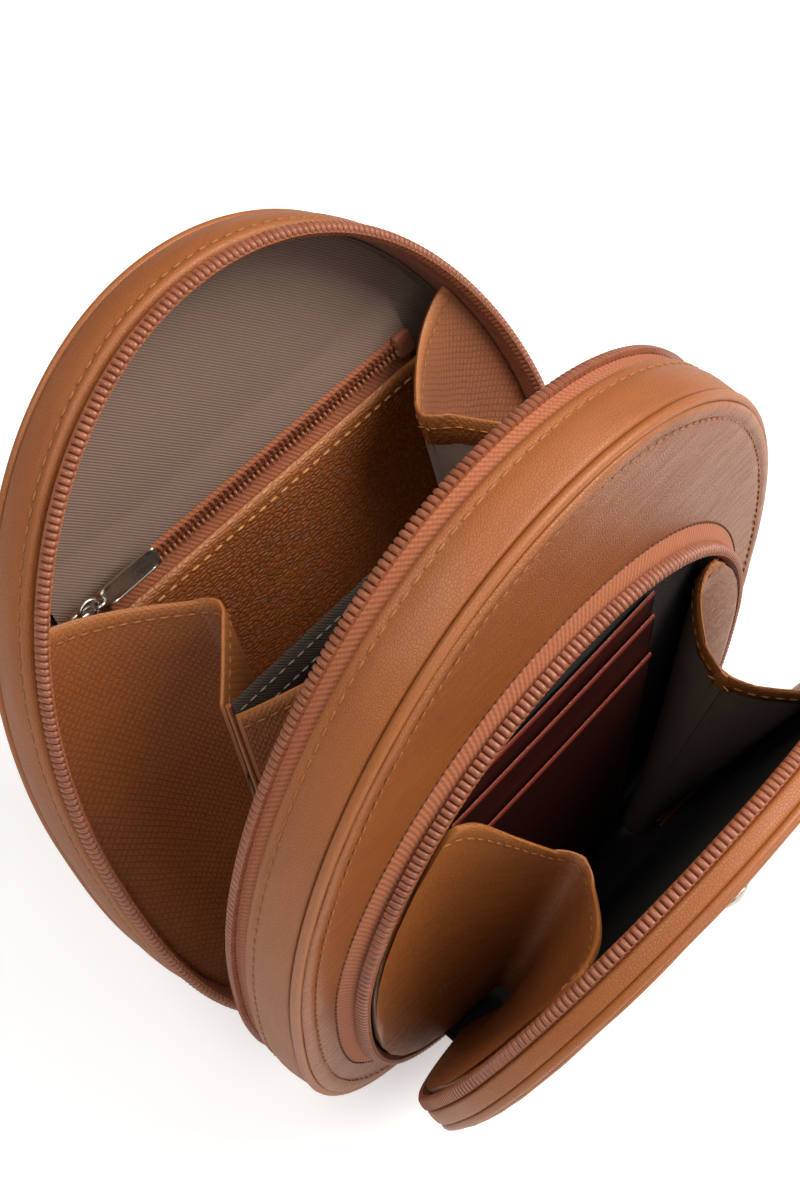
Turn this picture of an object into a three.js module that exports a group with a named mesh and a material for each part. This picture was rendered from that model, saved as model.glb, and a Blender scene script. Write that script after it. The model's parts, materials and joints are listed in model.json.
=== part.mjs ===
// A round-topped leather phone pouch with two zipped compartments, standing open.
// Millimetres, +Z up, the front faces -Y. The origin is the middle of the mid body's flat base.
import * as THREE from 'three';

// Mid body: a dome outline, widest at the spring line and nearly flat underneath
const BODY = makeDome({ half: 68, spring: 77, rise: 88, drop: 78, top: 2.05, bottom: 2.8, floor: 0 });
const MID_DEPTH = 16.5;
const MOUTH_Y = MID_DEPTH / 2;
const SEAM_Y = -MID_DEPTH / 2;

// Rear shell: the same outline, hinged along the bottom of the main mouth
const REAR_LEAN = THREE.MathUtils.degToRad(23.2);
const REAR_HINGE_Z = 2;
const REAR_DEPTH = 16.5;
const FLOOR_CLEAR = 0.2;

// Front pocket and its flap: a smaller dome on the face of the mid body
const POCKET = makeDome({ half: 57, spring: 69.5, rise: 58, drop: 61.5, top: 2, bottom: 2.6, floor: 9 });
const POCKET_COLLAR = 6.5;
const POCKET_Y = SEAM_Y - POCKET_COLLAR;
const FLAP_LEAN = THREE.MathUtils.degToRad(17.5);
const FLAP_HINGE_Z = 11;
const FLAP_DEPTH = 7.3;
const FLAP_BAND = 2.9;
const STUD = { x: -14, z: 119, face: 2.6, foot: 3.2, high: 1.2, sides: 14 };

// Materials' thicknesses, and the gap between pieces that touch
const GAP = 0.3;
const LEATHER = 1.8;
const PANEL = 1.4;
const LINING = 0.6;
const TAPE = 0.6;
const PIPING_R = 0.7;
const PIPING_INSET = 0.9;

// Zips: coil section, bare tape between coil and leather, and the height where a zip ends
const COIL_LONG = 1.7;
const COIL_OUT = 0.4;
const COIL_IN = 1.8;
const COLLAR = 5;
const TAPE_UNDER = 4;
const MAIN_ZIP_END_Z = 10;
const MAIN_STRIP_END_Z = 9;
const POCKET_ZIP_END_Z = 12;
const POCKET_STRIP_END_Z = 11;

// Bellows: inner folds, the divider between them, and the heights of their top edges
const MAIN_FOLD_X = 27;
const DIVIDER_HALF = 40.5;
const DIVIDER_TOP = 111;
const DIVIDER_BOTTOM = 7;
const DIVIDER_THICK = 1.2;
const DIVIDER_CORNER = 12;
const MAIN_GUSSET_TOP = { wall: 127, fold: 116, divider: 110 };
const POCKET_FOLD_X = { left: 17, right: 32 };
const POCKET_GUSSET_TOP = { wall: 106, fold: 91 };
const MAIN_GUSSET_FOOT = 33;
const POCKET_GUSSET_FOOT = 30;
const GUSSET = 0.9;
const WALL_CLEAR = 3.4;
const EDGE_SHARE = 0.02;
const STRIP = { inset: 0.2, main: 1.4, pocket: 0.8 };

// Inner zip pocket on the rear wall
const INNER_PANEL = { top: 112, y: 12.6, thick: 1.2 };
const INNER_ZIP = { z: 116.6, half: 45, y: 13, tapeWide: 12, tapeThick: 0.35, tapeOver: 3 };
const CHAIN = { wide: 2.8, deep: 1.1 };
const END_STOP = { long: 4, deep: 2.2, wide: 6.4, gap: 0.4, forward: 0.5 };
const SLIDER = { x: -42.5, long: 9, wide: 7, deep: 2.6 };
const INNER_PULL = { long: 13, wide: 4, thick: 1, corner: 1, ring: 2.2, wire: 0.5, rise: 2.5 };
const PULL = { long: 15, wide: 5, thick: 1.4, above: 2 };
const PARKED_Z = { main: 35, pocket: 27 };

// Card slots on the back wall of the front pocket
const CARD_TOPS = [112, 105.5, 93.5];
const CARD_X = { left: -32, right: 24 };
const CARD_FOOT = 24;
const CARD_STEP = 0.9;

// How finely the outlines are drawn
const RING_STEPS = 36;
const GUSSET_ROWS = 3;
const GUSSET_STEPS = 4;

const finish = (color, roughness, metalness = 0) => ({ color, roughness, metalness });
const TAN = finish('#8a4f28', 0.6);
const TAPE_BROWN = finish('#8d5336', 0.8);
const COIL_BROWN = finish('#7d4a31', 0.5);
const TAUPE = finish('#6b5c50', 0.9);
const BLACK = finish('#241f1f', 0.9);
const BURGUNDY = finish('#5a1f1c', 0.5);
const NICKEL = finish('#c9c4bb', 0.3, 1);

const pouch = new THREE.Group();
const rear = new THREE.Group();
rear.position.set(0, MOUTH_Y, REAR_HINGE_Z);
rear.rotation.x = -REAR_LEAN;
const flap = new THREE.Group();
flap.position.set(0, POCKET_Y, FLAP_HINGE_Z);
flap.rotation.x = FLAP_LEAN;
pouch.add(rear, flap);

function addPiece(group, name, geometry, look) {
  geometry.computeVertexNormals();
  const mesh = new THREE.Mesh(geometry, new THREE.MeshStandardMaterial(look));
  mesh.name = name;
  group.add(mesh);
  return mesh;
}

// A closed solid swept through sections of equally many points, as a loop or with two end caps.
// The second half of a section is cut along the other diagonal, so a twisted leaf's two sides match
function sweep(sections, loop) {
  const size = sections[0].length;
  const position = sections.flat().flatMap((p) => [p.x, p.y, p.z]);
  const index = [];
  const quad = (a, b, c, d) => index.push(a, b, c, a, c, d);
  const spans = loop ? sections.length : sections.length - 1;
  for (let i = 0; i < spans; i += 1) {
    const here = i * size;
    const next = ((i + 1) % sections.length) * size;
    for (let k = 0; k < size; k += 1) {
      const other = (k + 1) % size;
      const corners = [here + k, here + other, next + other, next + k];
      if (k >= size / 2) corners.push(corners.shift());
      quad(...corners);
    }
  }
  if (!loop) {
    const last = (sections.length - 1) * size;
    for (let k = 0; k < size / 2 - 1; k += 1) {
      quad(k, size - 1 - k, size - 2 - k, k + 1);
      quad(last + k, last + k + 1, last + size - 2 - k, last + size - 1 - k);
    }
  }
  const geometry = new THREE.BufferGeometry();
  geometry.setAttribute('position', new THREE.Float32BufferAttribute(position, 3));
  geometry.setIndex(signedVolume(position, index) < 0 ? index.reverse() : index);
  return geometry;
}

function signedVolume(position, index) {
  const corner = (i) => new THREE.Vector3().fromArray(position, index[i] * 3);
  let sum = 0;
  for (let i = 0; i < index.length; i += 3) {
    sum += corner(i).dot(corner(i + 1).cross(corner(i + 2)));
  }
  return sum;
}

// A dome outline with the angle below its spring line at which it comes down to its flat base
function makeDome(sizes) {
  const share = (sizes.spring - sizes.floor) / sizes.drop;
  return { ...sizes, base: Math.asin(share ** (sizes.bottom / 2)) };
}

// One point (x, z) of a dome outline drawn in by inset, at an angle from the right-hand spring point
function domePoint(dome, inset, angle) {
  const above = Math.sin(angle) >= 0;
  const power = 2 / (above ? dome.top : dome.bottom);
  const reach = (above ? dome.rise : dome.drop) - inset;
  const cos = Math.cos(angle);
  const sin = Math.sin(angle);
  const x = Math.sign(cos) * (dome.half - inset) * Math.abs(cos) ** power;
  const z = dome.spring + Math.sign(sin) * reach * Math.abs(sin) ** power;
  return { x, z };
}

// Angles over the top of the dome, from the right-hand end of its flat base to the left-hand end
function anglesOver(dome) {
  const range = Math.PI + 2 * dome.base;
  return Array.from({ length: RING_STEPS + 1 }, (_, i) => (range * i) / RING_STEPS - dome.base);
}

// The same angles split at height z: those of the zip above it, and those of the strip below it
const anglesAbove = (dome, z) => anglesOver(dome).filter((a) => domePoint(dome, 0, a).z >= z);
function anglesBelow(dome, z) {
  const low = anglesOver(dome).filter((a) => domePoint(dome, 0, a).z < z);
  const right = low.filter((a) => Math.cos(a) > 0).reverse();
  const left = low.filter((a) => Math.cos(a) < 0).reverse();
  return [...right, ...left];
}

const halfWidth = (dome, inset, z) => {
  const up = z >= dome.spring;
  const reach = (up ? dome.rise : dome.drop) - inset;
  const power = up ? dome.top : dome.bottom;
  const share = Math.min(1, Math.abs(z - dome.spring) / reach);
  return (dome.half - inset) * (1 - share ** power) ** (1 / power);
};

// A wall that follows the outline, between two insets and two depths
function wall(dome, angles, [inOuter, inInner], [yFrom, yTo], loop, domeTo = dome) {
  const at = (shape, inset, angle, y) => {
    const { x, z } = domePoint(shape, inset, angle);
    return new THREE.Vector3(x, y, z);
  };
  const sections = angles.map((angle) => [
    at(dome, inOuter, angle, yFrom),
    at(domeTo, inOuter, angle, yTo),
    at(domeTo, inInner, angle, yTo),
    at(dome, inInner, angle, yFrom),
  ]);
  return sweep(sections, loop);
}

const ring = (dome, insets, depths, domeTo) =>
  wall(dome, anglesOver(dome), insets, depths, true, domeTo);

const zipStrip = (dome, endZ, insets, depths, domeTo) =>
  wall(dome, anglesAbove(dome, endZ), insets, depths, false, domeTo);

// A six-sided bead round the outline at one depth
function bead(dome, inset, y, radius) {
  const sides = [0, 1, 2, 3, 4, 5].map((k) => (k * Math.PI) / 3);
  const sections = anglesOver(dome).map((angle) =>
    sides.map((side) => {
      const { x, z } = domePoint(dome, inset + radius * Math.cos(side), angle);
      return new THREE.Vector3(x, y + radius * Math.sin(side), z);
    }),
  );
  return sweep(sections, true);
}

// A flat plate of the outline, up to a level top edge where one is given
function plate(dome, inset, [yFrom, yTo], topZ = Infinity) {
  const outline = anglesOver(dome)
    .map((angle) => domePoint(dome, inset, angle))
    .filter(({ z }) => z < topZ);
  if (topZ < dome.spring + dome.rise) {
    const x = halfWidth(dome, inset, topZ);
    const edge = outline.findIndex((p) => p.x < 0);
    outline.splice(edge, 0, { x, z: topZ }, { x: -x, z: topZ });
  }
  return slab(outline, yFrom, yTo);
}

// An outline of (x, z) points given a depth along Y
function slab(outline, yFrom, yTo) {
  const shape = new THREE.Shape(outline.map(({ x, z }) => new THREE.Vector2(x, -z)));
  const depth = Math.abs(yTo - yFrom);
  const geometry = new THREE.ExtrudeGeometry(shape, { depth, bevelEnabled: false });
  geometry.rotateX(-Math.PI / 2);
  return geometry.translate(0, Math.min(yFrom, yTo), 0);
}

function box(long, deep, high, x, y, z) {
  return new THREE.BoxGeometry(long, deep, high).translate(x, y, z);
}

// The rear shell's underside rises with depth, so that it clears the floor when it leans back
function rearDome(depth) {
  const lift = (FLOOR_CLEAR - REAR_HINGE_Z + depth * Math.sin(REAR_LEAN)) / Math.cos(REAR_LEAN);
  const floor = Math.max(0, REAR_HINGE_Z + lift);
  const shift = REAR_HINGE_Z;
  return { ...BODY, spring: BODY.spring - shift, drop: BODY.drop - floor, floor: floor - shift };
}

const flapDome = {
  ...POCKET,
  spring: POCKET.spring - FLAP_HINGE_Z,
  floor: POCKET.floor - FLAP_HINGE_Z,
};
const tapeInsets = [COIL_IN + GAP, COIL_IN + GAP + TAPE];
const coilInsets = [COIL_OUT, COIL_IN];
const leatherInsets = [0, LEATHER];
const panelInset = PIPING_INSET + PIPING_R + GAP;
const liningInset = tapeInsets[1] + GAP;

function buildMidBody() {
  const bandFront = SEAM_Y + PIPING_R + GAP;
  const bandBack = MOUTH_Y - COLLAR;
  const faceBack = SEAM_Y - GAP;
  const coil = [MOUTH_Y - GAP - COIL_LONG, MOUTH_Y - GAP];
  const tape = [bandBack - TAPE_UNDER, MOUTH_Y - GAP];
  addPiece(pouch, 'mid_band', ring(BODY, leatherInsets, [bandFront, bandBack]), TAN);
  addPiece(pouch, 'mid_piping', bead(BODY, PIPING_INSET, SEAM_Y, PIPING_R), TAN);
  addPiece(pouch, 'mid_face', plate(BODY, panelInset, [faceBack - PANEL, faceBack]), TAN);
  addPiece(pouch, 'mid_lining', plate(BODY, liningInset, [bandFront, bandFront + LINING]), TAUPE);
  addPiece(pouch, 'mid_zip_tape', zipStrip(BODY, MAIN_ZIP_END_Z, tapeInsets, tape), TAPE_BROWN);
  addPiece(pouch, 'mid_zip_coil', zipStrip(BODY, MAIN_ZIP_END_Z, coilInsets, coil), COIL_BROWN);
  return faceBack - PANEL;
}

function buildPocketMouth(faceFront) {
  const coil = [POCKET_Y + GAP, POCKET_Y + GAP + COIL_LONG];
  const tape = [POCKET_Y + GAP, faceFront - GAP];
  const wallInset = liningInset + GAP;
  const zipZ = POCKET_ZIP_END_Z;
  addPiece(pouch, 'pocket_zip_tape', zipStrip(POCKET, zipZ, tapeInsets, tape), TAPE_BROWN);
  addPiece(pouch, 'pocket_zip_coil', zipStrip(POCKET, zipZ, coilInsets, coil), COIL_BROWN);
  const liningBack = faceFront - GAP;
  const liningFront = liningBack - LINING;
  addPiece(pouch, 'pocket_lining', plate(POCKET, wallInset, [liningFront, liningBack]), BLACK);
  CARD_TOPS.forEach((top, i) => {
    const back = liningFront - GAP - i * CARD_STEP;
    const height = top - CARD_FOOT;
    const width = CARD_X.right - CARD_X.left;
    const middle = (CARD_X.right + CARD_X.left) / 2;
    const card = box(width, LINING, height, middle, back - LINING / 2, CARD_FOOT + height / 2);
    addPiece(pouch, `card_slot_${i + 1}`, card, BURGUNDY);
  });
}

function buildRearShell() {
  const seam = REAR_DEPTH;
  const bandBack = seam - PIPING_R - GAP;
  const mouth = rearDome(0);
  const back = rearDome(seam);
  const zipZ = MAIN_ZIP_END_Z - REAR_HINGE_Z;
  const coil = [GAP, GAP + COIL_LONG];
  const tape = [GAP, COLLAR + TAPE_UNDER];
  const liningY = [bandBack - LINING, bandBack];
  const band = ring(rearDome(COLLAR), leatherInsets, [COLLAR, bandBack], rearDome(bandBack));
  addPiece(rear, 'rear_band', band, TAN);
  addPiece(rear, 'rear_piping', bead(back, PIPING_INSET, seam, PIPING_R), TAN);
  addPiece(rear, 'rear_panel', plate(back, panelInset, [seam + GAP, seam + GAP + PANEL]), TAN);
  addPiece(rear, 'rear_lining', plate(back, liningInset, liningY), TAUPE);
  const tapeStrip = zipStrip(mouth, zipZ, tapeInsets, tape, rearDome(tape[1]));
  addPiece(rear, 'rear_zip_tape', tapeStrip, TAPE_BROWN);
  addPiece(rear, 'rear_zip_coil', zipStrip(mouth, zipZ, coilInsets, coil), COIL_BROWN);
  return liningY[0];
}

function buildInnerPocket(liningFront) {
  const zip = INNER_ZIP;
  const topZ = INNER_PANEL.top - REAR_HINGE_Z;
  const zipZ = zip.z - REAR_HINGE_Z;
  const panelY = [INNER_PANEL.y, INNER_PANEL.y + INNER_PANEL.thick];
  const panel = plate(rearDome(panelY[1]), liningInset, panelY, topZ);
  addPiece(rear, 'inner_pocket_panel', panel, TAN);
  const tapeY = (panelY[1] + liningFront) / 2;
  const tape = box(2 * (zip.half + zip.tapeOver), zip.tapeThick, zip.tapeWide, 0, tapeY, zipZ);
  addPiece(rear, 'inner_zip_tape', tape, TAPE_BROWN);
  const chain = box(2 * zip.half, CHAIN.deep, CHAIN.wide, 0, zip.y, zipZ);
  addPiece(rear, 'inner_zip_coil', chain, COIL_BROWN);
  const stopX = zip.half + END_STOP.gap + END_STOP.long / 2;
  const stopY = zip.y - END_STOP.forward;
  const stop = box(END_STOP.long, END_STOP.deep, END_STOP.wide, stopX, stopY, zipZ);
  addPiece(rear, 'inner_zip_end_stop', stop, TAPE_BROWN);
  const sliderY = zip.y - CHAIN.deep / 2 - GAP - SLIDER.deep / 2;
  addPiece(rear, 'inner_zip_slider', sliderBody(SLIDER.x, sliderY, zipZ), NICKEL);
  const ringY = sliderY - SLIDER.deep / 2 - GAP - INNER_PULL.wire;
  const ringZ = zipZ + INNER_PULL.rise;
  const link = new THREE.TorusGeometry(INNER_PULL.ring, INNER_PULL.wire, 6, 14);
  link.rotateX(Math.PI / 2).translate(SLIDER.x, ringY, ringZ);
  addPiece(rear, 'inner_zip_ring', link, NICKEL);
  const tabX = SLIDER.x + INNER_PULL.ring + INNER_PULL.wire + GAP;
  addPiece(rear, 'inner_zip_pull', pullTab(tabX, ringY, ringZ), NICKEL);
}

// A slider body: a shield narrower at its tail, seen along Y
function sliderBody(x, y, z) {
  const half = SLIDER.wide / 2;
  const nose = SLIDER.long / 2;
  const outline = [
    { x: x - nose, z: z - half },
    { x: x + nose * 0.3, z: z - half },
    { x: x + nose, z: z - half * 0.5 },
    { x: x + nose, z: z + half * 0.5 },
    { x: x + nose * 0.3, z: z + half },
    { x: x - nose, z: z + half },
  ];
  return slab(outline, y - SLIDER.deep / 2, y + SLIDER.deep / 2);
}

// A pull tab with cut corners that points along +X from x
function pullTab(x, y, z) {
  const half = INNER_PULL.wide / 2;
  const { corner } = INNER_PULL;
  const end = x + INNER_PULL.long;
  const outline = [
    { x, z: z - half + corner },
    { x: x + corner, z: z - half },
    { x: end - corner, z: z - half },
    { x: end, z: z - half + corner },
    { x: end, z: z + half - corner },
    { x: end - corner, z: z + half },
    { x: x + corner, z: z + half },
    { x, z: z + half - corner },
  ];
  return slab(outline, y - INNER_PULL.thick / 2, y + INNER_PULL.thick / 2);
}

function buildFlap() {
  const seam = -FLAP_DEPTH;
  const bandFront = seam + PIPING_R + GAP;
  const bandBack = bandFront + FLAP_BAND;
  const zipZ = POCKET_ZIP_END_Z - FLAP_HINGE_Z;
  const coil = [-GAP - COIL_LONG, -GAP];
  const tape = [bandFront + GAP, -GAP];
  const panelY = [seam - GAP - PANEL, seam - GAP];
  addPiece(flap, 'flap_band', ring(flapDome, leatherInsets, [bandFront, bandBack]), TAN);
  addPiece(flap, 'flap_piping', bead(flapDome, PIPING_INSET, seam, PIPING_R), TAN);
  addPiece(flap, 'flap_panel', plate(flapDome, panelInset, panelY), TAN);
  const lining = plate(flapDome, liningInset, [bandFront, bandFront + LINING]);
  addPiece(flap, 'flap_lining', lining, BLACK);
  addPiece(flap, 'flap_zip_tape', zipStrip(flapDome, zipZ, tapeInsets, tape), TAPE_BROWN);
  addPiece(flap, 'flap_zip_coil', zipStrip(flapDome, zipZ, coilInsets, coil), COIL_BROWN);
  const stud = new THREE.CylinderGeometry(STUD.foot, STUD.face, STUD.high, STUD.sides);
  stud.translate(STUD.x, panelY[0] - GAP - STUD.high / 2, STUD.z - FLAP_HINGE_Z);
  addPiece(flap, 'flap_stud', stud, NICKEL);
  return bandBack;
}

// A point at height z on the fan of planes that turns about a hinge line, leaning back by lean
function fanPoint(x, z, lean, hingeY, hingeZ) {
  const radius = z - hingeZ;
  const y = hingeY + radius * Math.sin(lean);
  return new THREE.Vector3(x, y, hingeZ + radius * Math.cos(lean));
}

// A bellows: columns of points from its foot to its top edge, thickened to both sides of its run
function folded(columns, thick) {
  const last = columns.length - 1;
  const sections = columns.map((column, i) => {
    const before = columns[Math.max(0, i - 1)];
    const after = columns[Math.min(last, i + 1)];
    const sides = column.map((_, row) => {
      const run = after[row].clone().sub(before[row]);
      return new THREE.Vector3(-run.y, run.x, 0).setLength(thick / 2);
    });
    const front = column.map((p, row) => p.clone().sub(sides[row]));
    const back = column.map((p, row) => p.clone().add(sides[row])).reverse();
    return [...front, ...back];
  });
  return sweep(sections, false);
}

const mix = (a, b, t) => a + (b - a) * t;
const ease = (t) => t * t * (3 - 2 * t);

// The columns of one leaf between two edges. Each edge has its x, its share of the lean, its top
// and, beside the divider, a shift along Y
function leafColumns(from, to, { lean, hingeY, hingeZ, foot }, skipFirst) {
  const columns = [];
  for (let i = skipFirst ? 1 : 0; i <= GUSSET_STEPS; i += 1) {
    const t = i / GUSSET_STEPS;
    const top = mix(from.top, to.top, t);
    const turn = lean * mix(from.share, to.share, ease(t));
    const shift = mix(from.shift ?? 0, to.shift ?? 0, t);
    const column = [];
    for (let row = 0; row <= GUSSET_ROWS; row += 1) {
      const z = mix(foot, top, row / GUSSET_ROWS);
      const x = mix(from.x(z), to.x(z), t);
      column.push(fanPoint(x, z, turn, hingeY + shift, hingeZ));
    }
    columns.push(column);
  }
  return columns;
}

function bellows(edges, fan) {
  const leaves = edges.slice(1).map((edge, i) => leafColumns(edges[i], edge, fan, i > 0));
  return folded(leaves.flat(), GUSSET);
}

function buildMainGussets() {
  const fan = { lean: REAR_LEAN, hingeY: MOUTH_Y, hingeZ: REAR_HINGE_Z, foot: MAIN_GUSSET_FOOT };
  const tops = MAIN_GUSSET_TOP;
  const edge = (share, top, x, shift) => ({ share, top, x, shift });
  const clear = DIVIDER_THICK / 2 + GUSSET / 2 + GAP;
  const sides = { left: -1, right: 1 };
  Object.entries(sides).forEach(([name, sign]) => {
    const atWall = (z) => sign * halfWidth(BODY, WALL_CLEAR, z);
    const atFold = () => sign * MAIN_FOLD_X;
    const atDivider = () => sign * (DIVIDER_HALF + GAP);
    const back = [
      edge(1 - EDGE_SHARE, tops.wall, atWall),
      edge(0.75, tops.fold, atFold),
      edge(0.5, tops.divider, atDivider, clear),
    ];
    const front = [
      edge(0.5, tops.divider, atDivider, -clear),
      edge(0.25, tops.fold, atFold),
      edge(EDGE_SHARE, tops.wall, atWall),
    ];
    addPiece(pouch, `rear_gusset_${name}`, bellows(back, fan), TAN);
    addPiece(pouch, `front_gusset_${name}`, bellows(front, fan), TAN);
  });
}

function buildPocketGussets() {
  const fan = {
    lean: -FLAP_LEAN,
    hingeY: POCKET_Y,
    hingeZ: FLAP_HINGE_Z,
    foot: POCKET_GUSSET_FOOT,
  };
  const sides = { left: -1, right: 1 };
  Object.entries(sides).forEach(([name, sign]) => {
    const atWall = (z) => sign * halfWidth(POCKET, WALL_CLEAR, z);
    const atFold = () => sign * POCKET_FOLD_X[name];
    const edges = [
      { share: EDGE_SHARE, top: POCKET_GUSSET_TOP.wall, x: atWall },
      { share: 0.5, top: POCKET_GUSSET_TOP.fold, x: atFold },
      { share: 1 - EDGE_SHARE, top: POCKET_GUSSET_TOP.wall, x: atWall },
    ];
    addPiece(pouch, `pocket_gusset_${name}`, bellows(edges, fan), TAN);
  });
}

function buildDivider() {
  const group = new THREE.Group();
  group.position.set(0, MOUTH_Y, REAR_HINGE_Z);
  group.rotation.x = -REAR_LEAN / 2;
  pouch.add(group);
  const foot = DIVIDER_BOTTOM - REAR_HINGE_Z;
  const top = DIVIDER_TOP - REAR_HINGE_Z;
  const cut = DIVIDER_CORNER;
  const outline = [
    { x: -DIVIDER_HALF, z: top },
    { x: -DIVIDER_HALF, z: foot + cut },
    { x: cut - DIVIDER_HALF, z: foot },
    { x: DIVIDER_HALF - cut, z: foot },
    { x: DIVIDER_HALF, z: foot + cut },
    { x: DIVIDER_HALF, z: top },
  ];
  addPiece(group, 'divider', slab(outline, -DIVIDER_THICK / 2, DIVIDER_THICK / 2), TAUPE);
}

// A leather strip under a mouth, from an edge on the mid body to an edge on a hinged shell
function hingeStrip(still, moving, group, [yStill, yMoving], endZ, thick) {
  group.updateMatrixWorld(true);
  const at = (dome, inset, angle, y) => {
    const { x, z } = domePoint(dome, inset, angle);
    return new THREE.Vector3(x, y, z);
  };
  const place = (p) => p.applyMatrix4(group.matrixWorld);
  const { inset } = STRIP;
  const sections = anglesBelow(still, endZ).map((angle) => [
    at(still, inset, angle, yStill),
    place(at(moving, inset, angle, yMoving)),
    place(at(moving, inset + thick, angle, yMoving)),
    at(still, inset + thick, angle, yStill),
  ]);
  return sweep(sections, false);
}

function buildHingeStrips(faceFront, flapBandBack) {
  const mainEdges = [MOUTH_Y - COLLAR + GAP, COLLAR - GAP];
  const rearEdge = rearDome(COLLAR);
  const bottom = hingeStrip(BODY, rearEdge, rear, mainEdges, MAIN_STRIP_END_Z, STRIP.main);
  addPiece(pouch, 'bottom_hinge_strip', bottom, TAN);
  const pocketEdges = [faceFront - GAP, flapBandBack + GAP];
  const strip = hingeStrip(POCKET, flapDome, flap, pocketEdges, POCKET_STRIP_END_Z, STRIP.pocket);
  addPiece(pouch, 'pocket_hinge_strip', strip, TAN);
}

// A slider parked on the right-hand end of a zip, with its pull hanging from it
function buildParkedSlider(name, dome, y, z) {
  const deep = SLIDER.deep;
  const centreX = halfWidth(dome, 0, z + SLIDER.long / 2) + GAP + deep / 2;
  const body = box(deep, SLIDER.wide, SLIDER.long, centreX, y, z);
  addPiece(pouch, `${name}_zip_slider`, body, NICKEL);
  const pullX = centreX + deep / 2 + GAP + PULL.thick / 2;
  const top = z + PULL.above;
  const pull = box(PULL.thick, PULL.wide, PULL.long, pullX, y, top - PULL.long / 2);
  addPiece(pouch, `${name}_zip_pull`, pull, NICKEL);
}

const faceFront = buildMidBody();
buildPocketMouth(faceFront);
buildInnerPocket(buildRearShell());
const flapBandBack = buildFlap();
buildMainGussets();
buildPocketGussets();
buildDivider();
buildHingeStrips(faceFront, flapBandBack);
buildParkedSlider('main', BODY, MOUTH_Y, PARKED_Z.main);
buildParkedSlider('pocket', POCKET, POCKET_Y, PARKED_Z.pocket);

export default pouch;
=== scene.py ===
"""An open two-compartment leather phone pouch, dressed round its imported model.

Sizes are in millimetres in the row frame's axes, unless a name says otherwise. Meshes are made in
metres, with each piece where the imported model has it.
"""

import json
import logging
import math
from collections.abc import Callable, Sequence
from dataclasses import astuple, dataclass, replace
from enum import Enum
from itertools import accumulate

import bmesh
import bpy
import numpy as np
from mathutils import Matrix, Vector, noise


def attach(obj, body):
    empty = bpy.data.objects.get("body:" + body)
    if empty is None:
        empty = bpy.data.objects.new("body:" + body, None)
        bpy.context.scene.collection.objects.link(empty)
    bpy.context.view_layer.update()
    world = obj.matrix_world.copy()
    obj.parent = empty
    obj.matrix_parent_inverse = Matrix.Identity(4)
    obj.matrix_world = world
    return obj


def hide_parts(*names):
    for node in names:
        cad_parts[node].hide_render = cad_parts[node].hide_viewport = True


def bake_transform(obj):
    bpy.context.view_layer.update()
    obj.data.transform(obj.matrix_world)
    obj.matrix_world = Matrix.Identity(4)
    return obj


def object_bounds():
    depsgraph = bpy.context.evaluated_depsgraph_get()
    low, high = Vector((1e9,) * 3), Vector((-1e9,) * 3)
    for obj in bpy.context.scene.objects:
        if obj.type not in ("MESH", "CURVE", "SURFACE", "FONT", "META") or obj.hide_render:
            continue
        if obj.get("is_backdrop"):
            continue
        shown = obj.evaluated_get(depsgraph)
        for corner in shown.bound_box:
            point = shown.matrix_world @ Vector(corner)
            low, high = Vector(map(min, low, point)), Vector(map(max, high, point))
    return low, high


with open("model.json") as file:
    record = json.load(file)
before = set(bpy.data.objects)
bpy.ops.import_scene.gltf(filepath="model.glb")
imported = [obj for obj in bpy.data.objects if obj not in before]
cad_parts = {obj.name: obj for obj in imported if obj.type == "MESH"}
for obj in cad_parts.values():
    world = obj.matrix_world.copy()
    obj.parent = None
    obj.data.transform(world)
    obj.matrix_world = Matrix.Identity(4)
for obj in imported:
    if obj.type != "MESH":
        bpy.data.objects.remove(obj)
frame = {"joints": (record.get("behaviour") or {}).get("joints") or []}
CAD_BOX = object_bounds()
MM = 0.001
LOG = logging.getLogger("pouch")

Pair = tuple[float, float]
Section = list[Pair]
Profile = tuple[Pair, ...]
Line = list[Vector]
Spot = tuple[float, float, float]
Flat = Callable[[Vector], Pair]
Piece = bpy.types.Object
Tree = bpy.types.NodeTree
Socket = bpy.types.NodeSocket
# How far apart the stations of a line of stitches or coil turns lie, the sides of a metal wire, and
# the steps in which an outline is measured
LINE_STEP = 1.5
WIRE_SIDES = 10
FINE_STEPS = 3000
X_AXIS, Y_AXIS, Z_AXIS = (Vector(axis) for axis in ((1, 0, 0), (0, 1, 0), (0, 0, 1)))


class Body(Enum):
    """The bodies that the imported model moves."""

    MID = "mid_body"
    REAR = "rear_shell"
    DIVIDER = "divider"
    FLAP = "front_flap"
    INNER_SLIDER = "inner_slider"
    INNER_PULL = "inner_pull"
    MAIN_PULL = "main_pull"
    POCKET_PULL = "pocket_pull"


class Slot(Enum):
    """The record's material slots."""

    LEATHER = "tan_leather"
    TAUPE = "taupe_lining"
    DARK = "dark_lining"
    TAPE = "zip_tape"
    COIL = "zip_coil"
    CARD = "card_leather"
    STOP = "end_stop"
    METAL = "metal"


class Ends(Enum):
    """How a swept skin ends: joined to its start, closed by caps, or closed by two poles."""

    LOOP = "loop"
    CAPPED = "capped"
    POLES = "poles"


class Side(Enum):
    """The two sides of the pouch, by the sign of X."""

    LEFT = -1
    RIGHT = 1


def linear(hex_colour: str) -> tuple[float, float, float, float]:
    """Turns an sRGB hex colour into the linear colour that a shader takes.

    Args:
        hex_colour: A colour such as "#8a4f28".

    Returns:
        Linear red, green, blue and an alpha of 1.
    """
    parts = [int(hex_colour[i : i + 2], 16) / 255 for i in (1, 3, 5)]
    rgb = [c / 12.92 if c <= 0.04045 else ((c + 0.055) / 1.055) ** 2.4 for c in parts]
    return (*rgb, 1.0)


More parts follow.
